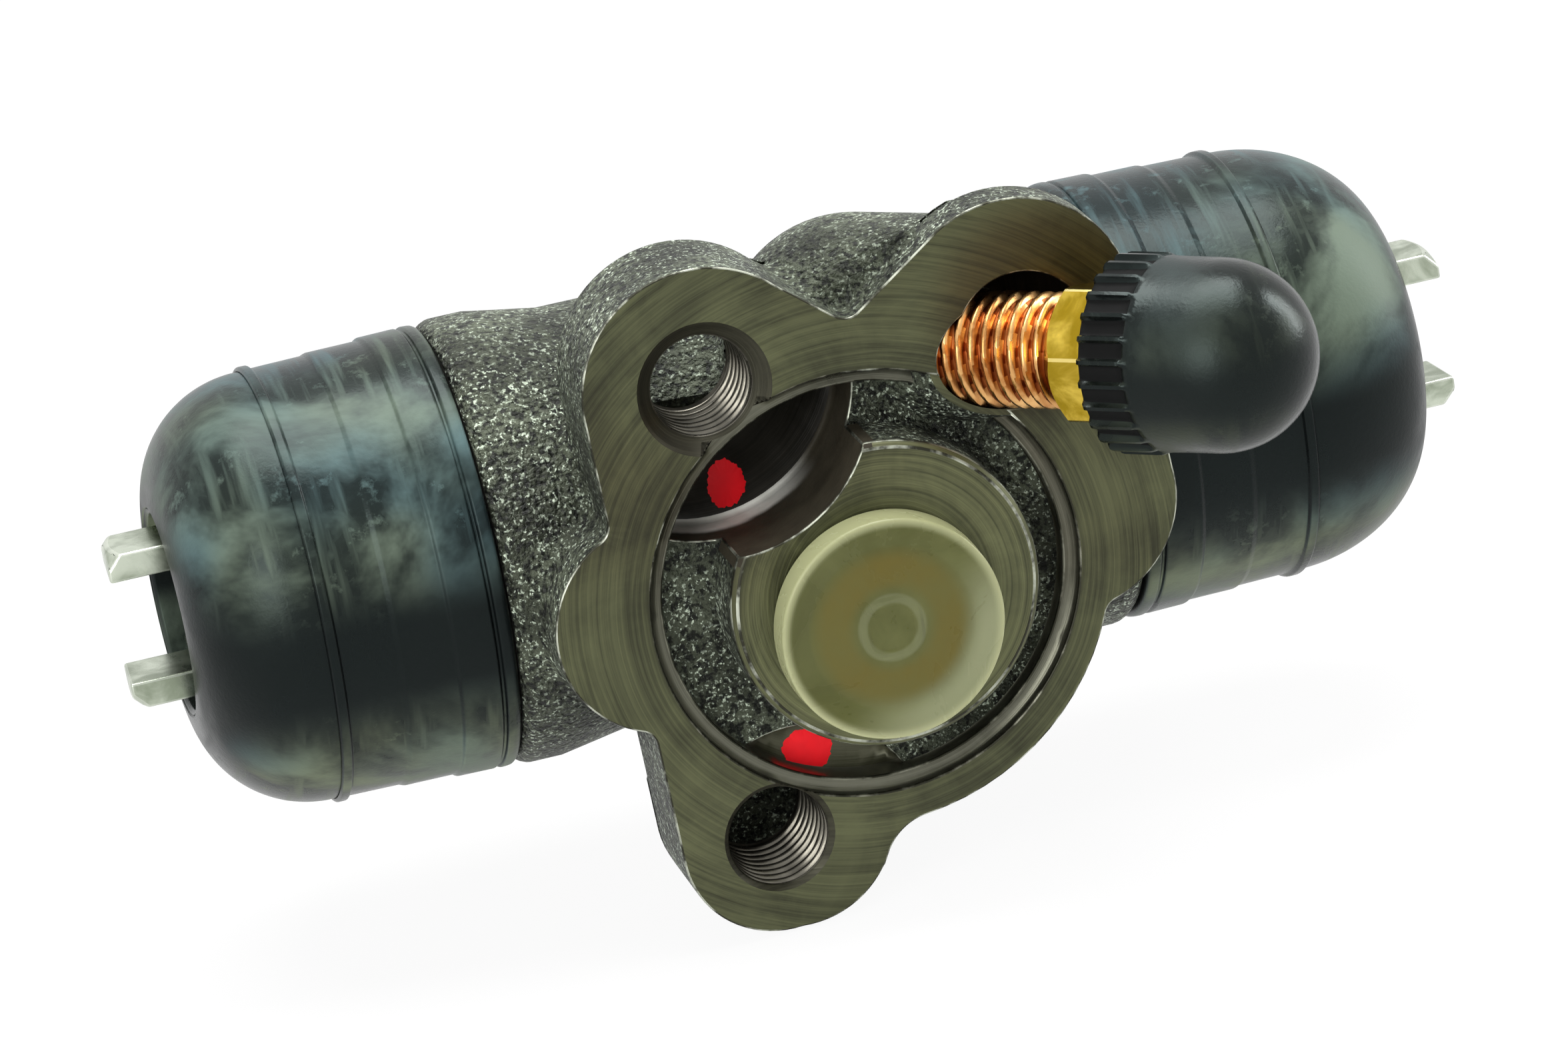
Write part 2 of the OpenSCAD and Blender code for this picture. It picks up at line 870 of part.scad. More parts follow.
module inlet_plug() {
    color(plug_color)
        off_face(inlet_x, -inlet_drop)
            rotate_extrude()
                difference() {
                    polygon([
                        [0, plug_base + plug_height - plug_dish],
                        [2.2, plug_base + plug_height - plug_dish],
                        [2.2, plug_base + plug_height - plug_dish + 0.3],
                        [2.9, plug_base + plug_height - plug_dish + 0.3],
                        [2.9, plug_base + plug_height - plug_dish],
                        [plug_d / 2 - 1.4, plug_base + plug_height - plug_dish],
                        [plug_d / 2 - 0.9, plug_base + plug_height],
                        [plug_d / 2 - 0.3, plug_base + plug_height],
                        [plug_d / 2, plug_base + plug_height - 0.3],
                        [plug_d / 2, plug_base],
                        [plug_stem_r, plug_base],
                        [plug_stem_r, 1.4 - inlet_depth],
                        [plug_stem_r - 0.8, 0.6 - inlet_depth],
                        [0, 0.6 - inlet_depth]
                    ]);
                    translate([0, 0.1 - inlet_depth])
                        square([plug_stem_r - 1.4, inlet_depth]);
                }
}

cylinder_body();
left_piston();
right_piston();
left_cup_seal();
right_cup_seal();
left_cup_expander();
right_cup_expander();
return_spring();
left_dust_boot();
right_dust_boot();
bleed_screw();
bleed_screw_cap();
inlet_plug();
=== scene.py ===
"""Drum brake wheel cylinder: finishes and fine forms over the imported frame."""
import math

import bmesh
import bpy
import numpy as np
from mathutils import Matrix, Vector
from mathutils.bvhtree import BVHTree


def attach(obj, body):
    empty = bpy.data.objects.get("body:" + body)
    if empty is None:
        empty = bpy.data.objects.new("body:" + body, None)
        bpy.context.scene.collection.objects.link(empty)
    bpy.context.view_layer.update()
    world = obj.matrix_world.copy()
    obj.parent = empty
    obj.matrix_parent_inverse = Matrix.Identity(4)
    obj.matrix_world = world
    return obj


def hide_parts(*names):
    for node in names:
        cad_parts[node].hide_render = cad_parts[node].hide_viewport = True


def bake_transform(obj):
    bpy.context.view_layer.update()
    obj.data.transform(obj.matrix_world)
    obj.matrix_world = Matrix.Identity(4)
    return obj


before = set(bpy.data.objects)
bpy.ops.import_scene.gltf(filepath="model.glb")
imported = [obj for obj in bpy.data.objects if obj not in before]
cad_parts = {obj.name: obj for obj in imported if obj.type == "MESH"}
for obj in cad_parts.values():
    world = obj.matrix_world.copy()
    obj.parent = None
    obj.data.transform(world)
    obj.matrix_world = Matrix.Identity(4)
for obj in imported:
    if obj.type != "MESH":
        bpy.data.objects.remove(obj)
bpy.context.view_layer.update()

# Sizes in millimetres and the hexagon's turn in degrees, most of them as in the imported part
MM = 0.001
BORE_X, BORE_Y, BORE_Z = -2.3, 24.6, 3.4
LEFT_TIP, RIGHT_TIP, BOOT_TO_TIP = 58.3, 61.0, 4.7
SPIGOT_R, TUBE_END, COLLAR_END, BORE_WALL_R, TUBE_SKIN_R = 16.6, 37.5, 27.6, 12.9, 17.0
GROOVE_FROM, GROOVE_TO, GROOVE_DEPTH = 30.27, 32.67, 1.4
SLEEVE_R, LIP_R, RIDGE, SHOULDER_R, BOOT_WALL = 18.7, 19.3, 43.1, 10.0, 2.0
LIP_GROOVE, FIRST_STEP, SECOND_STEP, BEAD_TO_TIP = 29.2, 32.7, 37.3, 9.8
STEM_R, STEM_GROOVE_R = 8.25, 7.35
BOLT_X, BOLT_Z, TAP_R, THREAD_R, PITCH = -11.7, 20.0, 4.25, 5.0, 1.25
UPPER_CHAMFER, LOWER_CHAMFER, BLIND_DEPTH, FLANGE_DEPTH = 1.5, 0.55, 11.0, 10.0
MOUTH_R, MOUTH_DEPTH = 5.8, 2.0
RING_X, RING_Z, RECESS_R = -0.85, 0.2, 18.5
LEDGE_Y, FLOOR_Y, PAD_Y, POCKET_Y = 1.0, 2.8, 3.9, 7.6
POCKET_X, POCKET_Z, POCKET_R = -11.4, 18.8, 12.7
PILOT_R, PILOT_RISE = 13.3, 3.2
INLET_X, INLET_Z, INLET_DEPTH = -0.5, -2.0, 8.0
PLUG_R, PLUG_BASE, PLUG_TOP, PLUG_DISH, PLUG_STEM_R = 9.65, 3.3, 6.3, 0.6, 4.92
BLEED_X, BLEED_Z, BLEED_RECESS_R, BLEED_RECESS_DEPTH = 15.1, 17.3, 9.0, 8.0
HEX_FROM, HEX_TO, HEX_AF, HEX_TURN = 5.2, 9.6, 11.0, 47.0
SEAT_S, SCREW_R, SCREW_PITCH, NIPPLE_R, NIPPLE_END = -14.0, 4.92, 1.25, 3.4, 20.3
SCREW_ROOT_R, SCREW_RISE = 4.22, 0.68
CAP_FROM, CAP_R, BAND, DOME_S, RIBS = 9.8, 8.05, 4.6, 19.1, 26
SPRING_FROM, SPRING_TO, COIL_R, WIRE_R, COILS = -8.8, 11.5, 6.2, 0.65, 4

# Widths of worn and rounded edges, and how near a face counts as on a level or a wall
RIM_WIDTH, EDGE_WIDTH, CAST_EDGE_WIDTH, CORNER_R = 0.2, 0.15, 0.6, 1.7
PISTON_EDGE_WIDTH, NIPPLE_EDGE_WIDTH = 0.22, 0.1
LEVEL, NEAR = 0.05, 0.1
WELD = 0.002 * MM

# Camera angles in degrees, its target and sensor in millimetres, its lens in pixels, and the studio in metres
CAMERA_AZIMUTH, CAMERA_ELEVATION, CAMERA_ROLL = -11.44, 18.61, -9.42
CAMERA_TARGET, CAMERA_DISTANCE = (-1.98, 24.6, -1.29), 0.65
PICTURE_WIDTH, FOCAL_PIXELS, SENSOR_WIDTH = 2352, 11268, 36.0
FLOOR_Z, FLOOR_SIZE, LAMP_AIM = -0.0287, 12, (0, 0.02, 0)


# Placing

def from_axes(x, y, z, origin):
    """A placing from the directions of its axes and its origin."""
    m = Matrix.Identity(4)
    for i in range(3):
        m[i][0], m[i][1], m[i][2], m[i][3] = x[i], y[i], z[i], origin[i]
    return m


BORE_RIGHT = from_axes((0, 0, -1), (0, 1, 0), (1, 0, 0), (BORE_X, BORE_Y, BORE_Z))
BORE_LEFT = from_axes((0, 0, 1), (0, 1, 0), (-1, 0, 0), (BORE_X, BORE_Y, BORE_Z))
COS_45 = math.sqrt(0.5)
BLEED = from_axes((COS_45, COS_45, 0), (0, 0, 1), (COS_45, -COS_45, 0), (BLEED_X, 0, BLEED_Z))


def off_face(x, z):
    """Local Z leaves the mounting face at a right angle."""
    return from_axes((1, 0, 0), (0, 0, 1), (0, -1, 0), (x, 0, z))


# Mesh making

def link_piece(name, mesh, finishes, body):
    """An object for a finished mesh, which rides on a body if one is given."""
    piece = bpy.data.objects.new(name, mesh)
    bpy.context.scene.collection.objects.link(piece)
    for finish in finishes:
        mesh.materials.append(finish)
    if body:
        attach(piece, body)
    return piece


def make_piece(name, points, faces, finishes, body, placing=None, sharp=40, pick=None):
    """A mesh piece from points in millimetres. pick gives a face's finish from its number."""
    mesh = bpy.data.meshes.new(name)
    m = placing or Matrix.Identity(4)
    mesh.from_pydata([(m @ Vector(p)) * MM for p in points], [], faces)
    if pick:
        for k, face in enumerate(mesh.polygons):
            face.material_index = pick(k)
    bm = bmesh.new()
    bm.from_mesh(mesh)
    bmesh.ops.remove_doubles(bm, verts=bm.verts, dist=1e-7)
    bmesh.ops.recalc_face_normals(bm, faces=bm.faces)
    bm.to_mesh(mesh)
    bm.free()
    mesh.shade_smooth()
    mesh.set_sharp_from_angle(angle=math.radians(sharp))
    return link_piece(name, mesh, finishes, body)


def eased(t):
    """A soft step from 0 to 1."""
    t = min(1.0, max(0.0, t))
    return t * t * (3 - 2 * t)


def plain(r):
    """A round section of a skin."""
    return lambda a: r


def bent(first, corner, last, steps):
    """Points on a curve that starts towards a corner and ends coming from it."""
    out = []
    for k in range(steps + 1):
        t = k / steps
        out.append(first * (1 - t) ** 2 + corner * 2 * t * (1 - t) + last * t * t)
    return out


def ring_faces(rows, columns, ends=False):
    """Faces between closed rows of points, and over both ends if asked for."""
    faces = []
    for i in range(rows - 1):
        for k in range(columns):
            q = (k + 1) % columns
            faces.append((i * columns + k, i * columns + q, (i + 1) * columns + q, (i + 1) * columns + k))
    if ends:
        faces += [tuple(range(columns)), tuple((rows - 1) * columns + k for k in range(columns))]
    return faces


def wrapped(rows, columns, ends=False):
    """Points and faces of a skin around local Z: each row is (height, radius as a function of the angle)."""
    points = []
    for s, reach in rows:
        for k in range(columns):
            a = 2 * math.pi * k / columns
            r = reach(a)
            points.append((r * math.cos(a), r * math.sin(a), s))
    return points, ring_faces(len(rows), columns, ends)


def ridge_of_thread(turn):
    """Height of a rolled thread, from 0 in the root to 1 on the crest, at a place counted in pitches."""
    t = abs(2 * (turn % 1.0) - 1)
    return eased((t - 0.14) / 0.7)


def turned(profile, steps):
    """Points and faces of a closed outline of (radius, height) turned about local Z."""
    points = []
    for i in range(steps):
        a = 2 * math.pi * i / steps
        points += [(r * math.cos(a), r * math.sin(a), s) for r, s in profile]
    n = len(profile)
    faces = []
    for i in range(steps):
        j = (i + 1) % steps
        for k in range(n):
            q = (k + 1) % n
            if profile[k][0] < 1e-6 and profile[q][0] < 1e-6:
                continue
            if profile[k][0] < 1e-6:
                faces.append((i * n + k, j * n + q, i * n + q))
            elif profile[q][0] < 1e-6:
                faces.append((i * n + k, j * n + k, i * n + q))
            else:
                faces.append((i * n + k, j * n + k, j * n + q, i * n + q))
    return points, faces


def rounded(corners, steps=4):
    """A closed outline of (radius, height, corner radius), with an arc at each corner that has one."""
    out = []
    n = len(corners)
    for i in range(n):
        r, s, fillet = corners[i]
        here = Vector((r, s))
        a = Vector(corners[i - 1][:2]) - here
        b = Vector(corners[(i + 1) % n][:2]) - here
        if fillet <= 0 or a.length < 1e-6 or b.length < 1e-6:
            out.append((r, s))
            continue
        la, lb = a.length, b.length
        a.normalize()
        b.normalize()
        angle = a.angle(b)
        if angle > 3.1:
            out.append((r, s))
            continue
        reach = min(fillet / math.tan(angle / 2), 0.48 * la, 0.48 * lb)
        first, last = here + a * reach, here + b * reach
        out += [(p.x, p.y) for p in bent(first, here, last, steps)]
    return out


def arc(cr, cs, radius, start, stop, steps):
    """Points (radius, height) on an arc; angles in degrees from the radial direction."""
    out = []
    for k in range(steps + 1):
        a = math.radians(start + (stop - start) * k / steps)
        out.append((cr + radius * math.cos(a), cs + radius * math.sin(a)))
    return out


# Shared shader groups

def new_group(name, inputs, outputs):
    """An empty shader group, whose named sockets all carry numbers."""
    group = bpy.data.node_groups.new(name, "ShaderNodeTree")
    for labels, way in ((inputs, "INPUT"), (outputs, "OUTPUT")):
        for label in labels:
            group.interface.new_socket(label, in_out=way, socket_type="NodeSocketFloat")
    return group, group.nodes.new("NodeGroupInput"), group.nodes.new("NodeGroupOutput")


class Wiring:
    """Short words for nodes and links in one tree."""

    def __init__(self, tree):
        self.tree = tree

    def node(self, kind, **settings):
        n = self.tree.nodes.new(kind)
        for key, value in settings.items():
            setattr(n, key, value)
        return n

    def link(self, a, b):
        self.tree.links.new(a, b)

    def put(self, socket, value):
        if hasattr(value, "is_linked"):
            self.link(value, socket)
        else:
            socket.default_value = value

    def maths(self, op, a, b=0.0):
        n = self.node("ShaderNodeMath", operation=op)
        self.put(n.inputs[0], a)
        self.put(n.inputs[1], b)
        return n.outputs[0]

    def times(self, a, b):
        return self.maths("MULTIPLY", a, b)

    def plus(self, a, b):
        return self.maths("ADD", a, b)

    def minus(self, a, b):
        return self.maths("SUBTRACT", a, b)

    def most(self, a, b):
        return self.maths("MAXIMUM", a, b)

    def axes(self, vector):
        n = self.node("ShaderNodeSeparateXYZ")
        self.link(vector, n.inputs[0])
        return n.outputs

    def ramp(self, value, low, high):
        n = self.node("ShaderNodeMapRange", interpolation_type="SMOOTHSTEP")
        self.put(n.inputs["Value"], value)
        self.put(n.inputs["From Min"], low)
        self.put(n.inputs["From Max"], high)
        return n.outputs["Result"]

    def mix(self, factor, a, b, blend="MIX"):
        n = self.node("ShaderNodeMix", data_type="RGBA", blend_type=blend)
        self.put(n.inputs[0], factor)
        self.put(n.inputs[6], a)
        self.put(n.inputs[7], b)
        return n.outputs[2]

    def blend_value(self, factor, a, b):
        n = self.node("ShaderNodeMix", data_type="FLOAT")
        self.put(n.inputs[0], factor)
        self.put(n.inputs[2], a)
        self.put(n.inputs[3], b)
        return n.outputs[0]

    def spots(self, where, scale, detail=3.0, rough=0.55, warp=0.0):
        n = self.node("ShaderNodeTexNoise")
        self.link(where, n.inputs["Vector"])
        self.put(n.inputs["Scale"], scale)
        n.inputs["Detail"].default_value = detail
        n.inputs["Roughness"].default_value = rough
        n.inputs["Distortion"].default_value = warp
        return n.outputs["Fac"]

    def place(self):
        return self.node("ShaderNodeTexCoord").outputs["Object"]

    def group(self, tree, **values):
        n = self.node("ShaderNodeGroup", node_tree=tree)
        for key, value in values.items():
            self.put(n.inputs[key.replace("_", " ")], value)
        return n


def make_cast_grain():
    """Sand-cast skin: lumps, grit, bright specks on the lumps that are worn metal with painted glints, and dark
    hollows that are painted shade.
    """
    group, _, out = new_group("cast_grain", [], ["Height", "Specks", "Painted Shade", "Mottle"])
    w = Wiring(group)
    at = w.place()
    lumps = w.spots(at, 800.0, 2.0, 0.5)
    grit = w.spots(at, 2600.0, 3.0, 0.65)
    grains = w.node("ShaderNodeTexVoronoi", feature="F1")
    w.link(at, grains.inputs["Vector"])
    grains.inputs["Scale"].default_value = 2300.0
    height = w.plus(w.times(lumps, 0.6), w.times(grit, 0.8))
    height = w.minus(height, w.times(grains.outputs["Distance"], 0.5))
    w.link(height, out.inputs["Height"])
    # Bright specks on the lumps: worn metal, and painted glints
    bright = w.times(w.ramp(w.spots(at, 2900.0, 2.0, 0.6), 0.54, 0.66), w.ramp(lumps, 0.36, 0.58))
    patches = w.ramp(w.spots(at, 70.0, 3.0, 0.55), 0.36, 0.60)
    w.link(w.times(bright, w.blend_value(patches, 0.30, 1.0)), out.inputs["Specks"])
    # Painted shade: dark hollows laid at random in the grain
    w.link(w.ramp(w.spots(at, 1600.0, 3.0, 0.6), 0.53, 0.40), out.inputs["Painted Shade"])
    w.link(w.ramp(w.spots(at, 140.0, 3.0, 0.6), 0.3, 0.7), out.inputs["Mottle"])
    return group


def make_turning():
    """Fine rings left by a lathe tool around an axis off the mounting face."""
    group, put_in, out = new_group("turning_rings", ["Centre X", "Centre Z"],
                                   ["Rings", "Broad", "Smudge", "Cloud", "Radius"])
    w = Wiring(group)
    at = w.place()
    split = w.axes(at)
    dx = w.minus(split["X"], put_in.outputs["Centre X"])
    dz = w.minus(split["Z"], put_in.outputs["Centre Z"])
    radius = w.maths("SQRT", w.plus(w.times(dx, dx), w.times(dz, dz)))
    w.link(radius, out.inputs["Radius"])
    wobble = w.times(w.minus(w.spots(at, 120.0, 2.0), 0.5), 0.0003)
    along = w.node("ShaderNodeCombineXYZ")
    w.link(w.plus(radius, wobble), along.inputs["X"])
    w.link(w.times(w.spots(at, 60.0, 1.0), 0.0008), along.inputs["Y"])
    w.link(w.spots(along.outputs[0], 3000.0, 3.0, 0.7), out.inputs["Rings"])
    w.link(w.spots(along.outputs[0], 520.0, 2.0, 0.6), out.inputs["Broad"])
    w.link(w.spots(at, 85.0, 5.0, 0.65, 0.6), out.inputs["Smudge"])
    w.link(w.spots(at, 26.0, 2.0, 0.5), out.inputs["Cloud"])
    return group


def make_rubber_bloom():
    """Grey bloom and handling marks on moulded rubber."""
    group, _, out = new_group("rubber_bloom", [], ["Bloom", "Streaks", "Grain", "Flecks", "Tint"])
    w = Wiring(group)
    at = w.place()
    clouds = w.spots(at, 70.0, 5.0, 0.6, 0.4)
    w.link(w.ramp(clouds, 0.43, 0.66), out.inputs["Bloom"])
    stretch = w.node("ShaderNodeMapping")
    stretch.inputs["Scale"].default_value = (6.0, 0.5, 0.5)
    w.link(at, stretch.inputs["Vector"])
    w.link(w.ramp(w.spots(stretch.outputs[0], 105.0, 3.0, 0.6), 0.48, 0.72), out.inputs["Streaks"])
    w.link(w.spots(at, 2600.0, 3.0, 0.6), out.inputs["Grain"])
    w.link(w.ramp(w.spots(at, 420.0, 5.0, 0.7), 0.54, 0.74), out.inputs["Flecks"])
    w.link(w.ramp(w.spots(at, 48.0, 2.0, 0.5), 0.38, 0.62), out.inputs["Tint"])
    return group


CAST_GRAIN = make_cast_grain()
TURNING = make_turning()
BLOOM = make_rubber_bloom()


# Finishes

def new_finish(name, **constants):
    """A material whose shader has some inputs that are the same all over."""
    finish = bpy.data.materials.new(name)
    finish.use_nodes = True
    shader = finish.node_tree.nodes["Principled BSDF"]
    for key, value in constants.items():
        shader.inputs[key.replace("_", " ")].default_value = value
    return Wiring(finish.node_tree), shader, finish


def skin(w, shader, colour, rough):
    """Gives a shader its colour and roughness."""
    w.link(colour, shader.inputs["Base Color"])
    w.link(rough, shader.inputs["Roughness"])


def bump(w, shader, height, strength, distance):
    n = w.node("ShaderNodeBump")
    n.inputs["Strength"].default_value = strength
    n.inputs["Distance"].default_value = distance
    w.link(height, n.inputs["Height"])
    w.link(n.outputs["Normal"], shader.inputs["Normal"])


def rough_casting():
    w, shader, finish = new_finish("rough_casting", Metallic=0.35, Specular_IOR_Level=0.4)
    grain = w.group(CAST_GRAIN)
    base = w.mix(grain.outputs["Mottle"], (0.016, 0.019, 0.011, 1), (0.090, 0.104, 0.070, 1))
    # Painted shade darkens the hollows of the grain nearly to black
    base = w.mix(w.times(grain.outputs["Painted Shade"], 0.92), base, (0.004, 0.0048, 0.0034, 1))
    # Painted glints, with worn metal, in the bright specks
    colour = w.mix(w.times(grain.outputs["Specks"], 0.9), base, (0.68, 0.78, 0.62, 1))
    skin(w, shader, colour, w.blend_value(grain.outputs["Specks"], 0.50, 0.28))
    bump(w, shader, grain.outputs["Height"], 1.0, 0.0007)
    return finish


def turned_face(name, dark, light, centre, rough=0.42, metal=0.55, marks_depth=0.35):
    """A face with lathe rings and stains, browner and darker round a spot above and to the right of the bleed
    boss.
    """
    w, shader, finish = new_finish(name, Metallic=metal)
    marks = w.group(TURNING, Centre_X=centre[0] * MM, Centre_Z=centre[1] * MM)
    tone = w.plus(w.times(marks.outputs["Rings"], 0.7), w.times(marks.outputs["Smudge"], 0.6))
    tone = w.plus(tone, w.times(marks.outputs["Broad"], 0.35))
    tone = w.plus(tone, w.times(marks.outputs["Cloud"], 0.55))
    colour = w.mix(w.ramp(tone, 0.82, 1.36), dark, light)
    stain = w.times(w.ramp(marks.outputs["Cloud"], 0.50, 0.34), 0.35)
    # Browner and darker round a spot above and to the right of the bleed boss
    browner_near_bleed = w.group(TURNING, Centre_X=(BLEED_X + 2.5) * MM, Centre_Z=(BLEED_Z + 3.0) * MM)
    stain = w.most(stain, w.ramp(browner_near_bleed.outputs["Radius"], 0.0115, 0.0065))
    brown = w.mix(1.0, colour, (0.74, 0.56, 0.42, 1), "MULTIPLY")
    skin(w, shader, w.mix(stain, colour, brown),
         w.blend_value(marks.outputs["Smudge"], rough - 0.08, rough + 0.12))
    bump(w, shader, marks.outputs["Rings"], marks_depth, 0.0001)
    return finish


def pocket_wall():
    """Milled wall of the pocket with painted light and shade: pale low down at the left as if lit from above,
    dark brown with scale above that and at the right as painted shade.
    """
    w, shader, finish = new_finish("pocket_wall", Metallic=0.1, Specular_IOR_Level=0.1)
    at = w.place()
    split = w.axes(at)
    edge = w.plus(split["Y"], w.times(w.spots(at, 260.0, 3.0), 0.0012))
    # Painted light: pale where the wall is deep and towards the left, painted shade elsewhere
    bright = w.times(w.ramp(edge, 0.0052, 0.0064), w.ramp(split["X"], -0.0020, -0.0075))
    # Dark brown scale, which also stands for painted shade
    scale = w.mix(w.spots(at, 500.0, 3.0), (0.014, 0.012, 0.008, 1), (0.046, 0.040, 0.027, 1))
    painted_lit_metal = w.mix(w.spots(at, 420.0, 4.0), (0.40, 0.40, 0.35, 1), (0.78, 0.78, 0.73, 1))
    skin(w, shader, w.mix(bright, scale, painted_lit_metal), w.blend_value(bright, 0.55, 0.42))
    bump(w, shader, w.spots(at, 900.0, 3.0), 0.3, 0.0002)
    return finish


def worn_edge(name, scale, bare, least):
    """An edge rubbed bare in places."""
    w, shader, finish = new_finish(name, Metallic=0.85)
    at = w.place()
    grain = w.group(CAST_GRAIN)
    rubbed = w.ramp(w.spots(at, 330.0, 4.0, 0.6), least, least + 0.2)
    skin(w, shader, w.mix(rubbed, scale, bare), w.blend_value(grain.outputs["Specks"], 0.42, 0.26))
    return finish


def cut_thread(name, dark, light):
    w, shader, finish = new_finish(name, Metallic=0.9)
    at = w.place()
    skin(w, shader, w.mix(w.spots(at, 500.0, 3.0), dark, light),
         w.blend_value(w.spots(at, 900.0, 2.0), 0.18, 0.42))
    return finish


def moulded_rubber(name, dark, blue, olive, amount, rough, gloss):
    """Black rubber with random bloom. Painted light: it shows on what looks up as painted top light and on what
    looks down as a painted olive floor bounce, and the belly between stays dark as a painted shade band.
    """
    w, shader, finish = new_finish(name, Metallic=0.0, Specular_IOR_Level=gloss,
                                   Specular_Tint=(0.80, 1.0, 0.95, 1))
    marks = w.group(BLOOM)
    look_up = w.axes(w.node("ShaderNodeNewGeometry").outputs["Normal"])["Z"]
    # Painted top light on what looks up, painted floor bounce on what looks down, painted shade on the belly
    # between
    above = w.ramp(look_up, 0.02, 0.42)
    painted_floor_bounce = w.ramp(look_up, -0.25, -0.70)
    painted_light_by_facing = w.times(w.most(above, painted_floor_bounce), amount)
    # The olive colour stands partly for painted floor bounce on what looks down
    bloom = w.mix(w.times(w.plus(marks.outputs["Tint"], painted_floor_bounce), 0.7), blue, olive)
    cover = w.most(marks.outputs["Bloom"], w.times(marks.outputs["Streaks"], 0.6))
    cover = w.most(cover, w.times(marks.outputs["Flecks"], 0.8))
    cover = w.plus(w.times(cover, 0.92), 0.08)
    skin(w, shader, w.mix(w.times(cover, painted_light_by_facing), dark, bloom),
         w.blend_value(cover, rough, rough + 0.22))
    bump(w, shader, marks.outputs["Grain"], 0.22, 0.0001)
    return finish


def painted_flute_shade():
    """Painted shade for the flutes between the ribs of the cap: near-black and matt."""
    w, shader, finish = new_finish("cap_flute_shade", Metallic=0.0, Specular_IOR_Level=0.12)
    grain = w.group(BLOOM).outputs["Grain"]
    skin(w, shader, w.mix(grain, (0.0018, 0.0018, 0.0018, 1), (0.0055, 0.0058, 0.0056, 1)),
         w.blend_value(grain, 0.6, 0.8))
    return finish


def plated(name, dark, light, rough):
    w, shader, finish = new_finish(name, Metallic=1.0)
    at = w.place()
    patch = w.spots(at, 260.0, 4.0, 0.6, 0.5)
    skin(w, shader, w.mix(w.ramp(patch, 0.35, 0.7), dark, light),
         w.blend_value(w.spots(at, 700.0, 2.0), rough - 0.06, rough + 0.10))
    return finish


def milky_plastic():
    """Cloudy plug: golden where the port lies behind it, with a painted pale reflection at the lower right, a
    pale mark, and a pale outer edge that is a painted glow.
    """
    w, shader, finish = new_finish("plug_plastic", Metallic=0.0, IOR=1.46, Specular_IOR_Level=0.3)
    marks = w.group(TURNING, Centre_X=INLET_X * MM, Centre_Z=INLET_Z * MM)
    radius = marks.outputs["Radius"]
    haze = w.ramp(marks.outputs["Smudge"], 0.3, 0.72)
    clear = w.mix(haze, (0.056, 0.060, 0.011, 1), (0.092, 0.097, 0.027, 1))
    dim = w.times(w.ramp(radius, 0.0028, 0.0042), w.ramp(radius, 0.0074, 0.0056))
    gold = w.mix(haze, (0.108, 0.080, 0.007, 1), (0.090, 0.080, 0.013, 1))
    face = w.mix(w.times(dim, 0.8), clear, gold)
    mark = w.times(w.ramp(radius, 0.0020, 0.0023), w.ramp(radius, 0.0031, 0.0028))
    face = w.mix(w.times(mark, 0.28), face, (0.20, 0.215, 0.125, 1))
    split = w.axes(w.place())
    low_right = w.minus(split["X"], split["Z"])
    # Painted reflection: pale towards the lower right
    painted_reflection = w.times(w.ramp(radius, 0.0056, 0.0080), w.ramp(low_right, 0.0025, 0.0120))
    face = w.mix(w.times(painted_reflection, 0.65), face, (0.25, 0.265, 0.155, 1))
    # Painted glow: pale round the outer edge and side
    painted_edge_glow = w.ramp(radius, 0.0086, 0.0095)
    skin(w, shader, w.mix(painted_edge_glow, face, (0.30, 0.31, 0.165, 1)), w.blend_value(haze, 0.22, 0.38))
    return finish


def red_paint():
    w, shader, finish = new_finish("red_paint", Metallic=0.0, Specular_IOR_Level=0.25)
    at = w.place()
    skin(w, shader, w.mix(w.spots(at, 500.0, 3.0), (0.62, 0.0, 0.006, 1), (0.88, 0.003, 0.010, 1)),
         w.blend_value(w.spots(at, 800.0, 2.0), 0.5, 0.7))
    return finish


CASTING = rough_casting()
FACE = turned_face("turned_face", (0.019, 0.020, 0.008, 1), (0.096, 0.103, 0.047, 1), (RING_X, RING_Z))
PILOT_FACE = turned_face("turned_pilot", (0.024, 0.026, 0.010, 1), (0.138, 0.146, 0.066, 1), (0.0, 0.0),
                         marks_depth=0.55)
POCKET = turned_face("pocket_floor", (0.010, 0.0095, 0.007, 1), (0.034, 0.032, 0.026, 1), (BOLT_X, BOLT_Z),
                     rough=0.34)
PAD = turned_face("turned_pad", (0.024, 0.024, 0.013, 1), (0.066, 0.066, 0.038, 1), (RING_X, RING_Z), rough=0.4)
LEDGE = turned_face("turned_ledge", (0.028, 0.028, 0.018, 1), (0.130, 0.130, 0.098, 1), (RING_X, RING_Z),
                    rough=0.28, metal=0.8)
POCKET_WALL = pocket_wall()
BORE = turned_face("honed_bore", (0.10, 0.10, 0.09, 1), (0.22, 0.22, 0.20, 1), (BORE_X, BORE_Z),
                   rough=0.3, metal=0.8)
EDGE = worn_edge("worn_edge", (0.030, 0.030, 0.020, 1), (0.42, 0.44, 0.36, 1), least=0.42)
RIM = worn_edge("turned_rim", (0.030, 0.030, 0.020, 1), (0.20, 0.20, 0.155, 1), least=0.46)
# Painted shade: the countersink is a darker copy of the turned face
COUNTERSINK = turned_face("countersink", (0.014, 0.013, 0.008, 1), (0.060, 0.058, 0.038, 1), (BOLT_X, BOLT_Z),
                          rough=0.36, metal=0.7)
THREAD = cut_thread("cut_thread", (0.012, 0.011, 0.008, 1), (0.27, 0.255, 0.21, 1))
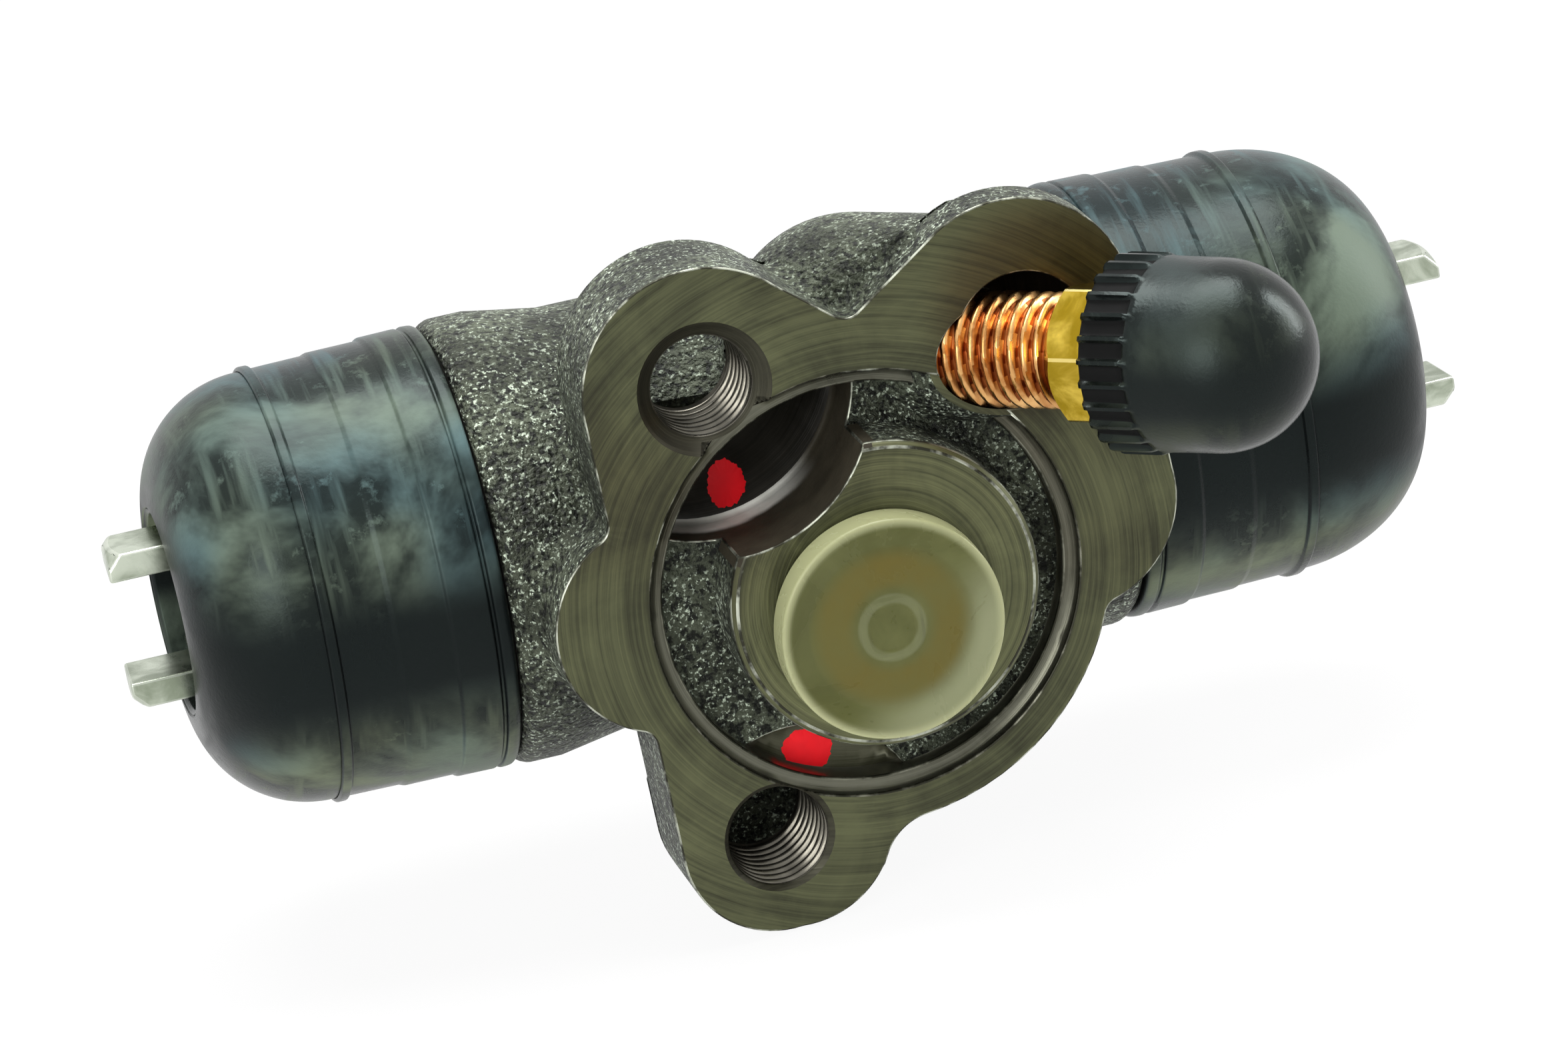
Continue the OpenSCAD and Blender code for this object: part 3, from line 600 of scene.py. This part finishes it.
# Bloom colours: blue, and olive that also paints floor bounce on the undersides
RUBBER = moulded_rubber("boot_rubber", (0.0030, 0.0040, 0.0042, 1), (0.070, 0.122, 0.132, 1),
                        (0.128, 0.150, 0.094, 1), amount=0.9, rough=0.24, gloss=0.15)
CAP_RUBBER = moulded_rubber("cap_rubber", (0.0028, 0.0034, 0.0033, 1), (0.046, 0.064, 0.062, 1),
                            (0.076, 0.090, 0.046, 1), amount=0.28, rough=0.20, gloss=0.20)
# Painted shade in the cap's flutes
FLUTE_SHADE = painted_flute_shade()
ZINC = plated("yellow_zinc", (0.36, 0.24, 0.014, 1), (0.76, 0.55, 0.085, 1), rough=0.16)
# Paler gold on the hexagon's corners: a painted highlight
ZINC_CORNER_HIGHLIGHT = plated("zinc_corner_highlight", (0.80, 0.62, 0.18, 1), (0.95, 0.82, 0.40, 1), rough=0.24)
COPPER = plated("thread_crest", (0.44, 0.18, 0.05, 1), (0.84, 0.50, 0.20, 1), rough=0.26)
COPPER_ROOT = plated("thread_root", (0.13, 0.030, 0.008, 1), (0.30, 0.09, 0.022, 1), rough=0.30)
PISTON = plated("piston_alloy", (0.26, 0.30, 0.22, 1), (0.58, 0.63, 0.52, 1), rough=0.26)
PISTON_EDGE = plated("piston_edge", (0.42, 0.46, 0.38, 1), (0.66, 0.70, 0.60, 1), rough=0.30)
STEEL = plated("spring_steel", (0.30, 0.30, 0.31, 1), (0.58, 0.58, 0.58, 1), rough=0.30)
PLUG = milky_plastic()
PAINT = red_paint()


def dress(node, *finishes):
    """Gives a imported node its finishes."""
    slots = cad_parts[node].data.materials
    slots.clear()
    for finish in finishes:
        slots.append(finish)


for side in ("left", "right"):
    dress(side + "_cup_seal", CAP_RUBBER)
    dress(side + "_cup_expander", STEEL)


# Cast body

BODY_FINISHES = [CASTING, FACE, PILOT_FACE, LEDGE, PAD, POCKET, POCKET_WALL, BORE, EDGE, RIM]
ROUGH, FLAT, PILOT, RING, PADDED, DEEP, MILLED, HONED, WORN, TURNED = range(10)


def body_finish(face):
    """Which finish a face of the casting has, from where it is and where it looks."""
    c = face.calc_center_median() / MM
    n = face.normal
    from_ring = math.hypot(c.x - RING_X, c.z - RING_Z)
    by_bleed = math.hypot(c.x - BLEED_X, c.z - BLEED_Z) < BLEED_RECESS_R
    below_floor = c.y > FLOOR_Y + LEVEL
    if n.y < -0.98:
        for y, finish in ((0, FLAT), (-PILOT_RISE, PILOT), (LEDGE_Y, RING), (PAD_Y, PADDED), (POCKET_Y, DEEP)):
            if abs(c.y - y) < LEVEL:
                return finish
        # The bleed screw's recess floor takes the dark pocket finish as painted shade
        return DEEP if by_bleed and below_floor else ROUGH
    to_bleed = n.x * (c.x - BLEED_X) + n.z * (c.z - BLEED_Z) < 0.2 or 0.6 < abs(n.y) < 0.8
    # The bleed screw's recess walls take the dark pocket finish as painted shade
    if by_bleed and to_bleed and -NEAR < c.y < BLEED_RECESS_DEPTH and abs(n.y) < 0.9:
        return DEEP
    if from_ring < RECESS_R + NEAR and -PILOT_RISE - NEAR < c.y < POCKET_Y + NEAR:
        from_pocket = math.hypot(c.x - POCKET_X, c.z - POCKET_Z)
        if abs(from_pocket - POCKET_R) < 0.8 and n.x * (c.x - POCKET_X) + n.z * (c.z - POCKET_Z) < -1:
            return MILLED
        if math.hypot(c.x, c.z) > PILOT_R - 0.7 and c.y < 0:
            return PILOT
        if from_ring > RECESS_R - 1.4:
            return RING
        if below_floor:
            return PADDED if c.z < 0 else DEEP
        return ROUGH
    from_bore = math.hypot(c.y - BORE_Y, c.z - BORE_Z)
    if from_bore < SPIGOT_R + NEAR and (abs(c.x - BORE_X) > COLLAR_END - NEAR or from_bore < BORE_WALL_R):
        return HONED
    return ROUGH


def in_bolt_hole(face):
    """True for the chamfer and the straight wall of a bolt hole, which the cut threads stand for."""
    c = face.calc_center_median() / MM
    for z in (BOLT_Z, -BOLT_Z):
        out = Vector((c.x - BOLT_X, 0, c.z - z))
        slant = 0.95 if c.y < MOUTH_DEPTH else 0.2
        if out.length < MOUTH_R and -NEAR < c.y < BLIND_DEPTH + 0.6 and abs(face.normal.y) < slant:
            if face.normal.dot(out.normalized()) < -0.3:
                return True
    return False


def soften(bm, edges, width, steps, finish):
    """Rounds edges off, with a finish of their own."""
    bmesh.ops.bevel(bm, geom=edges, offset=width * MM, offset_type="OFFSET", segments=steps, profile=0.5,
                    affect="EDGES", clamp_overlap=False, material=finish, loop_slide=True)


def folds(bm, least):
    """Edges between two faces that meet at more than an angle in degrees."""
    return [e for e in bm.edges if len(e.link_faces) == 2 and e.calc_face_angle(0) > math.radians(least)]


def on_casting(e, least):
    """True for an edge of the rough casting, further than a distance behind the face and outside the tube."""
    mid = (e.verts[0].co + e.verts[1].co) / 2 / MM
    rough = all(f.material_index == ROUGH for f in e.link_faces)
    return rough and mid.y > least and math.hypot(mid.y - BORE_Y, mid.z - BORE_Z) > TUBE_SKIN_R


def copy_of(node):
    """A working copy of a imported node, with clean faces."""
    bm = bmesh.new()
    bm.from_mesh(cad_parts[node].data)
    bmesh.ops.remove_doubles(bm, verts=bm.verts, dist=WELD)
    bmesh.ops.dissolve_limit(bm, angle_limit=math.radians(0.4), verts=bm.verts, edges=bm.edges)
    bmesh.ops.recalc_face_normals(bm, faces=bm.faces)
    for face in bm.faces:
        face.material_index = 0
    return bm


def settle(bm, name, sharp):
    """The finished mesh of a working one, smooth between its sharp edges."""
    bmesh.ops.triangulate(bm, faces=[f for f in bm.faces if len(f.verts) > 4])
    mesh = bpy.data.meshes.new(name)
    bm.to_mesh(mesh)
    bm.free()
    mesh.shade_smooth()
    mesh.set_sharp_from_angle(angle=math.radians(sharp))
    return mesh


def keep_flats(piece):
    """Keeps the shading of large flat faces flat beside rounded edges."""
    weigh = piece.modifiers.new("keep_flats", "WEIGHTED_NORMAL")
    weigh.weight = 80
    weigh.keep_sharp = True


def draw_in(bm, surface, most):
    """Brings back any point that a rounded edge has thrown further than a distance off the solid."""
    for v in bm.verts:
        near, _, _, gap = surface.find_nearest(v.co)
        if gap > most * MM:
            v.co = near


def inner_corners(bm, solid, radius, steps=6):
    """Points and faces of strips that round the inner corners of the rough casting."""
    found = {e for e in folds(bm, 20) if on_casting(e, least=3.5) and not e.is_convex}

    def direction(e):
        return (e.verts[1].co - e.verts[0].co).normalized()

    def reach(e, face):
        """How far the rounding runs on to a face, square to the corner."""
        loop = next(c for c in face.loops if c.edge == e)
        along = (loop.link_loop_next.vert.co - loop.vert.co).normalized()
        return face.normal.cross(along) * (radius * MM * math.tan(min(e.calc_face_angle(), 1.9) / 2))

    def touch(v, e, face):
        """Where the rounding touches the casting beside one end of an edge."""
        run = reach(e, face)
        others = [o for o in v.link_edges if o in found and o is not e]
        if others:
            other = max(others, key=lambda o: abs(direction(o).dot(direction(e))))
            run = (run + reach(other, max(other.link_faces, key=lambda f: f.normal.dot(face.normal)))) / 2
        return solid.find_nearest(v.co + run)[0]

    points, faces = [], []
    for e in sorted(found, key=lambda e: e.index):
        first, second = e.link_faces
        rows = []
        for v in e.verts:
            a, b = touch(v, e, first), touch(v, e, second)
            rows.append(len(points))
            points += bent(a, v.co, b, steps)
        p, q = rows
        for k in range(steps):
            face = (p + k, q + k, q + k + 1, p + k + 1)
            look = (points[face[1]] - points[face[0]]).cross(points[face[3]] - points[face[0]])
            faces.append(face if look.dot(first.normal + second.normal) > 0 else face[::-1])
    return points, faces


def add_faces(bm, points, faces, finish):
    """Adds faces of one finish to a working mesh, and welds them to each other."""
    verts = [bm.verts.new(p) for p in points]
    for corners in faces:
        bm.faces.new([verts[c] for c in corners]).material_index = finish
    bmesh.ops.remove_doubles(bm, verts=verts, dist=WELD)


def make_body():
    """The casting, with worn edges where it is machined and rounded ones where it is cast."""
    bm = copy_of("cylinder_body")
    bm.edges.index_update()
    solid = BVHTree.FromBMesh(bm)
    bmesh.ops.delete(bm, geom=[f for f in bm.faces if in_bolt_hole(f)], context="FACES")
    for face in bm.faces:
        face.material_index = body_finish(face)
    rounding = inner_corners(bm, solid, CORNER_R)
    machined = {FLAT, PILOT, RING, PADDED, DEEP, MILLED}

    def outer_edges(at_ring):
        """Standing edges of machined faces, either those of the turned ring or the others."""
        for e in folds(bm, 30):
            kinds = {f.material_index for f in e.link_faces}
            if e.is_convex and kinds & machined and (RING in kinds) == at_ring:
                yield e

    soften(bm, list(outer_edges(True)), RIM_WIDTH, 2, TURNED)
    soften(bm, list(outer_edges(False)), EDGE_WIDTH, 2, WORN)
    cast = [e for e in folds(bm, 35) if e.is_convex and on_casting(e, least=4) and e.calc_length() > 1e-5]
    soften(bm, cast, CAST_EDGE_WIDTH, 3, ROUGH)
    draw_in(bm, solid, most=0.3)
    add_faces(bm, *rounding, ROUGH)
    piece = link_piece("cast_body", settle(bm, "cast_body", sharp=48), BODY_FINISHES, "cylinder")
    keep_flats(piece)
    return piece


def make_hole_thread(name, z, chamfer, depth):
    """The cut thread of a bolt hole, with the countersink at its mouth, cut back to the ledge of the recess."""
    rows, columns = round(depth / PITCH * 10), 144
    points, coned = [], []
    for i in range(rows + 1):
        fade = min(1.0, (rows - i) / 5)
        for k in range(columns):
            a = 2 * math.pi * k / columns
            y = depth * i / rows
            cone = TAP_R + chamfer - y
            x, up = BOLT_X + cone * math.cos(a), z + cone * math.sin(a)
            if y < LEDGE_Y and math.hypot(x - RING_X, up - RING_Z) < RECESS_R:
                y = LEDGE_Y
                cone = TAP_R + chamfer - y
            start = min(1.0, max(0.0, (y - chamfer) / 0.7))
            groove = TAP_R + (THREAD_R - TAP_R) * fade * start * ridge_of_thread(y / PITCH - k / columns)
            r = max(groove, cone + 0.03)
            points.append((BOLT_X + r * math.cos(a), y, z + r * math.sin(a)))
            coned.append(cone > groove)
    faces = ring_faces(rows + 1, columns)
    return make_piece(name, points, faces, [COUNTERSINK, THREAD], "cylinder", sharp=60,
                      pick=lambda f: 0 if sum(coned[c] for c in faces[f]) > 2 else 1)


def make_bleed_land():
    """The casting that closes round the bleed screw's thread, cut off level with the mounting face."""
    columns, first, last = 78, 145, 350
    hole, level = THREAD_R + 0.02, 0.04
    section = ((0, 1.6), (0, 0.0), (0.5, 0.0), (1, 0.0), (1.15, 0.25), (1.5, 1.2), (2.2, 3.5), (2.4, 7.0))
    per = len(section)
    points = []
    for k in range(columns + 1):
        t = k / columns
        a = math.radians(first + (last - first) * t)
        wall = 0.5 * min(1.0, t / 0.12, (1 - t) / 0.2)
        for share, down in section:
            r = hole + share * wall
            x, y = r * math.cos(a), r * math.sin(a)
            points.append((x, y, x - level / COS_45 - down))
    faces = [(k * per + i, (k + 1) * per + i, (k + 1) * per + i + 1, k * per + i + 1)
             for k in range(columns) for i in range(per - 1)]
    return make_piece("bleed_boss_land", points, faces, [CASTING, FACE], "cylinder", BLEED, sharp=50,
                      pick=lambda f: 1 if f % (per - 1) in (1, 2) else 0)


def make_dab(name, x, z, y, reach, seed):
    """A dab of marking paint with a ragged edge, lying on a floor that looks forwards."""
    rings, columns, thick, sunk = 5, 160, 0.11, 0.01
    rng = np.random.default_rng(seed)
    around = np.linspace(0, 2 * np.pi, columns, endpoint=False)
    wave = np.zeros(columns)
    for m in (2, 3, 7, 13, 19, 29, 41):
        ragged = rng.uniform(0.4, 1.0) * 0.060 / m ** 0.35
        wave += ragged * np.cos(m * around + rng.uniform(0, 6.28))
    points = [(x, y - thick, z)]
    for i in range(1, rings + 1):
        t = i / rings
        top = y - thick * (1 - t ** 4) + sunk * t
        for k in range(columns):
            a = 2 * math.pi * k / columns
            r = t * (1 + wave[k] * t)
            points.append((x + reach[0] * r * math.cos(a), top, z + reach[1] * r * math.sin(a)))
    faces = [(0, 1 + k, 1 + (k + 1) % columns) for k in range(columns)]
    for i in range(rings - 1):
        for k in range(columns):
            q = (k + 1) % columns
            a, b = 1 + i * columns, 1 + (i + 1) * columns
            faces.append((a + k, b + k, b + q, a + q))
    return make_piece(name, points, faces, [PAINT], "cylinder", sharp=60)


body_pieces = [
    make_body(),
    make_hole_thread("upper_hole_thread", BOLT_Z, UPPER_CHAMFER, FLANGE_DEPTH),
    make_hole_thread("lower_hole_thread", -BOLT_Z, LOWER_CHAMFER, BLIND_DEPTH),
    make_bleed_land(),
    make_dab("upper_paint_dab", x=-9.8, z=9.1, y=POCKET_Y, reach=(1.75, 2.1), seed=4),
    make_dab("lower_paint_dab", x=-7.4, z=-14.4, y=PAD_Y, reach=(2.2, 2.0), seed=9),
]
for piece in body_pieces:
    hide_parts("cylinder_body")


# Pistons

def make_piston(side):
    """A turned piston whose edges are broken."""
    bm = copy_of(side + "_piston")
    soften(bm, folds(bm, 40), PISTON_EDGE_WIDTH, 2, 1)
    name = side + "_piston_turned"
    piece = link_piece(name, settle(bm, name, sharp=48), [PISTON, PISTON_EDGE],
                       side + "_piston_unit")
    keep_flats(piece)
    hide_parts(side + "_piston")


make_piston("left")
make_piston("right")


# Dust boots

def make_boot(side, tip, placing):
    """A dust boot with moulded steps, a ridge and a bead, which stretches from the tube's end to the piston."""
    end = tip - BOOT_TO_TIP
    turn = end - SHOULDER_R
    inner = SLEEVE_R - SHOULDER_R
    start = COLLAR_END + 0.2
    mouth = STEM_R + 0.3
    bead = tip - BEAD_TO_TIP
    outline = rounded([
        (SPIGOT_R + 0.05, start, 0.2), (LIP_R, start, 0.6),
        (LIP_R + 0.05, LIP_GROOVE - 0.25, 0.25), (LIP_R - 0.28, LIP_GROOVE - 0.1, 0.1),
        (LIP_R - 0.28, LIP_GROOVE + 0.1, 0.1), (LIP_R, LIP_GROOVE + 0.25, 0.25),
        (LIP_R - 0.06, FIRST_STEP, 0.4), (LIP_R - 0.3, FIRST_STEP + 0.25, 0.3),
        (LIP_R - 0.34, SECOND_STEP, 0.6), (SLEEVE_R + 0.08, SECOND_STEP + 0.45, 0.5),
        (SLEEVE_R, RIDGE - 0.75, 0.15), (SLEEVE_R + 0.34, RIDGE - 0.55, 0.2),
        (SLEEVE_R + 0.34, RIDGE + 0.15, 0.2), (SLEEVE_R - 0.04, RIDGE + 0.4, 0.15),
    ])
    first = RIDGE + 0.45
    outline += [(inner + (SHOULDER_R - 0.05) * across, first + (end - first) * along)
                for across, along in arc(0, 0, 1, 2, 87, 30)]
    outline += rounded([
        (inner + 0.35, end, 0.15), (mouth + 0.02, end - 0.35, 0.2), (mouth, bead + 2.2, 0.1),
        (STEM_GROOVE_R + 0.3, bead + 2.0, 0.1), (STEM_GROOVE_R + 0.3, bead + 0.1, 0.1), (mouth, bead - 0.1, 0.1),
    ])
    outline += arc(inner, turn - 1.8, SHOULDER_R - BOOT_WALL, 88, 4, 16)
    outline += [
        (SLEEVE_R - BOOT_WALL, TUBE_END + 0.6), (SPIGOT_R + 0.05, TUBE_END + 0.3),
        (SPIGOT_R + 0.05, GROOVE_TO - 0.15), (SPIGOT_R - GROOVE_DEPTH + 0.15, GROOVE_TO - 0.2),
        (SPIGOT_R - GROOVE_DEPTH + 0.15, GROOVE_FROM + 0.2), (SPIGOT_R + 0.05, GROOVE_FROM + 0.15),
    ]
    points, faces = turned(outline, 144)
    piece = make_piece(side + "_boot_moulding", points, faces, [RUBBER], None, placing, sharp=55)
    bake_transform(piece)
    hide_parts(side + "_dust_boot")


make_boot("left", LEFT_TIP, BORE_LEFT)
make_boot("right", RIGHT_TIP, BORE_RIGHT)


# Return spring, as two halves that meet in the middle of the bore

def make_spring(name, first, last):
    """A share of the spring, from its first to its last place, counted from 0 to 1 along the wire."""
    turns, per_turn, sides = COILS + 2, 36, 10
    pitch = 2 * WIRE_R * 1.06
    whole = SPRING_TO - SPRING_FROM
    span = (whole - 2 * pitch) / COILS
    points = []
    steps = range(int(first * turns * per_turn), int(last * turns * per_turn) + 1)
    for i in steps:
        t = i / per_turn
        if t < 1:
            climb = t * pitch
        elif t > turns - 1:
            climb = whole - (turns - t) * pitch
        else:
            climb = pitch + (t - 1) * span
        a = 2 * math.pi * t
        for k in range(sides):
            b = 2 * math.pi * k / sides
            r = COIL_R + WIRE_R * math.cos(b)
            points.append((r * math.cos(a), r * math.sin(a), SPRING_FROM + climb + WIRE_R * math.sin(b)))
    faces = ring_faces(len(steps), sides, ends=True)
    piece = make_piece(name, points, faces, [STEEL], None, BORE_RIGHT)
    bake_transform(piece)
    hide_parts("return_spring")


make_spring("spring_left_half", 0.0, 0.5)
make_spring("spring_right_half", 0.5, 1.0)


# Bleed screw

def make_hexagon():
    """The bleed screw's hexagon: six flats, narrow corners in paler gold as a painted highlight, and a turned
    chamfer to each end.
    """
    flat, top, per = HEX_AF / 2, HEX_AF / 2 - 0.1, 9
    half = math.radians(28.6)
    points, sides = [], 6 * per
    for side in range(6):
        for k in range(per):
            off = -half + 2 * half * k / (per - 1)
            a = math.radians(HEX_TURN + 30 + 60 * side) + off
            r = flat / math.cos(off)
            for reach, s in ((SCREW_R, HEX_FROM), (r, HEX_FROM + (r - SCREW_R) / 1.2),
                             (r, HEX_TO - 0.5 * (r - top)), (top, HEX_TO), (NIPPLE_R - 0.6, HEX_TO)):
                points.append((reach * math.cos(a), reach * math.sin(a), s))
    rows = len(points) // sides
    faces = [(k * rows + i, (k + 1) % sides * rows + i, (k + 1) % sides * rows + i + 1, k * rows + i + 1)
             for k in range(sides) for i in range(rows - 1)]
    return make_piece("bleed_screw_hexagon", points, faces, [ZINC, ZINC_CORNER_HIGHLIGHT], "bleeder", BLEED,
                      sharp=18, pick=lambda f: 1 if f // (rows - 1) % per == per - 1 else 0)


def make_bleed_screw():
    """The rolled thread of the bleed screw, then its hexagon and nipple."""
    columns = 144

    def threaded(s, fade):
        rise = SCREW_RISE * fade
        return lambda a: SCREW_ROOT_R + rise * ridge_of_thread(s / SCREW_PITCH - a / (2 * math.pi))

    rows = [(SEAT_S - 2.2, plain(1.6)), (SEAT_S, plain(4.1)), (SEAT_S + 0.1, plain(SCREW_ROOT_R))]
    count = int((HEX_FROM - SEAT_S) / SCREW_PITCH * 9)
    for i in range(count + 1):
        s = SEAT_S + 0.2 + (HEX_FROM - 0.5 - SEAT_S) * i / count
        rows.append((s, threaded(s, min(1.0, (HEX_FROM - 0.2 - s) / 0.5, (s - SEAT_S) / 1.0))))
    rows += [(HEX_FROM - 0.2, plain(4.35)), (HEX_FROM - 0.05, plain(4.5)), (HEX_FROM, plain(SCREW_R))]
    points, faces = wrapped(rows, columns)

    def finish_of(f):
        height = (rows[f // columns][0] + rows[f // columns + 1][0]) / 2
        return 0 if ridge_of_thread(height / SCREW_PITCH - (f % columns + 0.5) / columns) > 0.3 else 1

    thread = make_piece("bleed_screw_thread", points, faces, [COPPER, COPPER_ROOT], "bleeder",
                        BLEED, sharp=50, pick=finish_of)
    bm = copy_of("bleed_screw")
    to_screw = BLEED.inverted()
    shank = []
    for face in bm.faces:
        c = to_screw @ (face.calc_center_median() / MM)
        if (c.z < HEX_TO and math.hypot(c.x, c.y) > 1.5) or abs(c.z - HEX_TO) < 0.02:
            shank.append(face)
    bmesh.ops.delete(bm, geom=shank, context="FACES")
    soften(bm, folds(bm, 35), NIPPLE_EDGE_WIDTH, 2, 0)
    mesh = settle(bm, "bleed_screw_nipple", sharp=45)
    nipple = link_piece("bleed_screw_nipple", mesh, [ZINC], "bleeder")
    for piece in (thread, make_hexagon(), nipple):
        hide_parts("bleed_screw")


def make_cap():
    """The bleed screw's cap: a band of ribs, a plain sleeve and a dome, hollow over the nipple."""
    columns = RIBS * 12

    def ribbed(low, high):
        def reach(a):
            t = (a * RIBS / (2 * math.pi)) % 1.0
            d = abs(t - 0.5) * 2
            return low + (high - low) * eased((d - 0.62) / 0.2)
        return reach

    start, sleeve = CAP_FROM, CAP_FROM + BAND
    rows = [(NIPPLE_END + 2.2, plain(0.02)), (NIPPLE_END + 1.4, plain(NIPPLE_R - 0.6)),
            (NIPPLE_END + 0.5, plain(NIPPLE_R + 0.8)), (start + 1.0, plain(NIPPLE_R + 0.8)),
            (start + 0.05, plain(NIPPLE_R + 1.4)), (start, plain(NIPPLE_R + 1.7)), (start, plain(7.3)),
            (start + 0.08, ribbed(7.5, 7.9)), (start + 0.35, ribbed(7.66, 8.28)),
            (start + 0.7, ribbed(7.7, 8.36)), (sleeve - 1.0, ribbed(7.78, 8.36)),
            (sleeve - 0.5, ribbed(7.82, 8.34)), (sleeve - 0.25, ribbed(7.95, 8.27)),
            (sleeve, plain(8.14)), (sleeve + 0.4, plain(8.1)), (sleeve + 2, plain(8.07)), (DOME_S, plain(CAP_R))]
    for k in range(1, 25):
        b = math.pi / 2 * k / 25
        rows.append((DOME_S + CAP_R * math.sin(b), plain(CAP_R * math.cos(b))))
    rows.append((DOME_S + CAP_R, plain(0.02)))
    points, faces = wrapped(rows, columns, ends=True)

    def finish_of(f):
        """Painted shade in the flutes, rubber elsewhere."""
        if f >= columns * (len(rows) - 1):
            return 0
        height = (rows[f // columns][0] + rows[f // columns + 1][0]) / 2
        across = abs((f % columns + 0.5) * RIBS / columns % 1.0 - 0.5) * 2
        return 1 if start + 0.1 < height < sleeve - 0.2 and across < 0.66 and f // columns > 6 else 0

    piece = make_piece("bleed_cap_moulding", points, faces, [CAP_RUBBER, FLUTE_SHADE], "bleeder_cap", BLEED,
                       sharp=50, pick=finish_of)
    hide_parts("bleed_screw_cap")


make_bleed_screw()
make_cap()


# Inlet plug

def make_plug():
    """The transit plug: a dished head with a low raised mark, and a hollow stem."""
    floor = PLUG_TOP - PLUG_DISH
    stem = PLUG_STEM_R
    outline = rounded([
        (0, floor, 0), (2.0, floor, 0.12), (2.3, floor + 0.18, 0.12), (2.6, floor + 0.18, 0.12),
        (2.9, floor, 0.12), (PLUG_R - 2.6, floor, 1.2), (PLUG_R - 1.1, PLUG_TOP - 0.1, 0.5),
        (PLUG_R - 0.7, PLUG_TOP, 0.2), (PLUG_R - 0.1, PLUG_TOP, 0.35), (PLUG_R, PLUG_BASE + 0.1, 0.25),
        (stem, PLUG_BASE, 0.2), (stem, 1.4 - INLET_DEPTH, 0.2), (stem - 0.8, 0.6 - INLET_DEPTH, 0.2),
        (stem - 1.4, 0.6 - INLET_DEPTH, 0.1), (stem - 1.4, 0.0, 0.3), (0, 0, 0),
    ], steps=5)
    points, faces = turned(outline, 128)
    # The raised mark is a little square, and lower in three places
    shaped = []
    for x, y, s in points:
        r, a = math.hypot(x, y), math.atan2(y, x)
        if 2.0 < r < 3.0 and s > floor - 0.01:
            broken = 0.55 + 0.45 * math.cos(3 * a + 0.7)
            s = floor + (s - floor) * broken
            square = 1 - 0.07 * math.cos(4 * a)
            x, y = x * square, y * square
        shaped.append((x, y, s))
    piece = make_piece("inlet_plug_moulding", shaped, faces, [PLUG], "port_plug",
                       off_face(INLET_X, INLET_Z), sharp=50)
    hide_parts("inlet_plug")


make_plug()


# Camera, light and floor

def add_camera():
    """The camera at its fitted angles, rolled about its line of sight."""
    az, el, roll = (math.radians(a) for a in (CAMERA_AZIMUTH, CAMERA_ELEVATION, CAMERA_ROLL))
    back = Vector((math.sin(az) * math.cos(el), -math.cos(az) * math.cos(el), math.sin(el)))
    level = Vector((0, 0, 1)).cross(back).normalized()
    over = back.cross(level)
    right = level * math.cos(roll) + over * math.sin(roll)
    up = over * math.cos(roll) - level * math.sin(roll)
    target = Vector(CAMERA_TARGET) * MM
    data = bpy.data.cameras.new("camera")
    data.sensor_width = SENSOR_WIDTH
    data.lens = SENSOR_WIDTH * FOCAL_PIXELS / PICTURE_WIDTH
    data.clip_start = 0.01
    data.clip_end = 20.0
    camera = bpy.data.objects.new("camera", data)
    bpy.context.scene.collection.objects.link(camera)
    camera.matrix_world = from_axes(right, up, back, target + back * CAMERA_DISTANCE)
    bpy.context.scene.camera = camera


def add_lamp(name, spot, size, power):
    """A soft lamp that looks at the object."""
    data = bpy.data.lights.new(name, "AREA")
    data.shape = "RECTANGLE"
    data.size, data.size_y = size
    data.energy = power
    lamp = bpy.data.objects.new(name, data)
    bpy.context.scene.collection.objects.link(lamp)
    lamp.location = spot
    lamp.rotation_euler = (Vector(LAMP_AIM) - Vector(spot)).to_track_quat("-Z", "Y").to_euler()


def in_view(w):
    """1 for the rays that see floor and backing, also in metal or through glass, and 0 for other light."""
    path = w.node("ShaderNodeLightPath")
    seen = w.most(path.outputs["Is Camera Ray"], path.outputs["Is Glossy Ray"])
    return w.most(seen, path.outputs["Is Transmission Ray"])


def add_floor():
    """A pale floor that is seen nearly white and keeps the object's shadow."""
    w, shader, finish = new_finish("pale_floor", Roughness=0.9)
    shader.inputs["Base Color"].default_value = (0.9, 0.9, 0.9, 1)
    glow = w.node("ShaderNodeEmission")
    glow.inputs["Strength"].default_value = 1.0
    both = w.node("ShaderNodeMixShader")
    w.link(w.times(in_view(w), 0.93), both.inputs[0])
    w.link(shader.outputs[0], both.inputs[1])
    w.link(glow.outputs[0], both.inputs[2])
    end = finish.node_tree.nodes["Material Output"]
    w.link(both.outputs[0], end.inputs["Surface"])
    bpy.ops.mesh.primitive_plane_add(size=FLOOR_SIZE, location=(0, 0, FLOOR_Z))
    floor = bpy.context.object
    floor.name = "floor"
    floor.data.materials.append(finish)


def add_world():
    """Plain soft light, stronger from above, with a white backing."""
    world = bpy.data.worlds.new("studio")
    bpy.context.scene.world = world
    world.use_nodes = True
    w = Wiring(world.node_tree)
    backing = world.node_tree.nodes["Background"]
    backing.inputs["Color"].default_value = (1, 1, 1, 1)
    height = w.axes(w.node("ShaderNodeTexCoord").outputs["Generated"])["Z"]
    sky = w.blend_value(w.ramp(height, 0.05, 0.75), 0.10, 0.45)
    w.link(w.blend_value(in_view(w), sky, 1.0), backing.inputs["Strength"])


add_camera()
add_floor()
add_world()
add_lamp("overhead", spot=(0.02, 0.10, 0.60), size=(0.55, 0.4), power=7.0)
add_lamp("front_left", spot=(-0.40, -0.50, 0.25), size=(0.3, 0.4), power=2.8)
add_lamp("right_rim", spot=(0.5, 0.05, 0.2), size=(0.15, 0.35), power=2.0)
bpy.context.scene.view_settings.view_transform = "Standard"
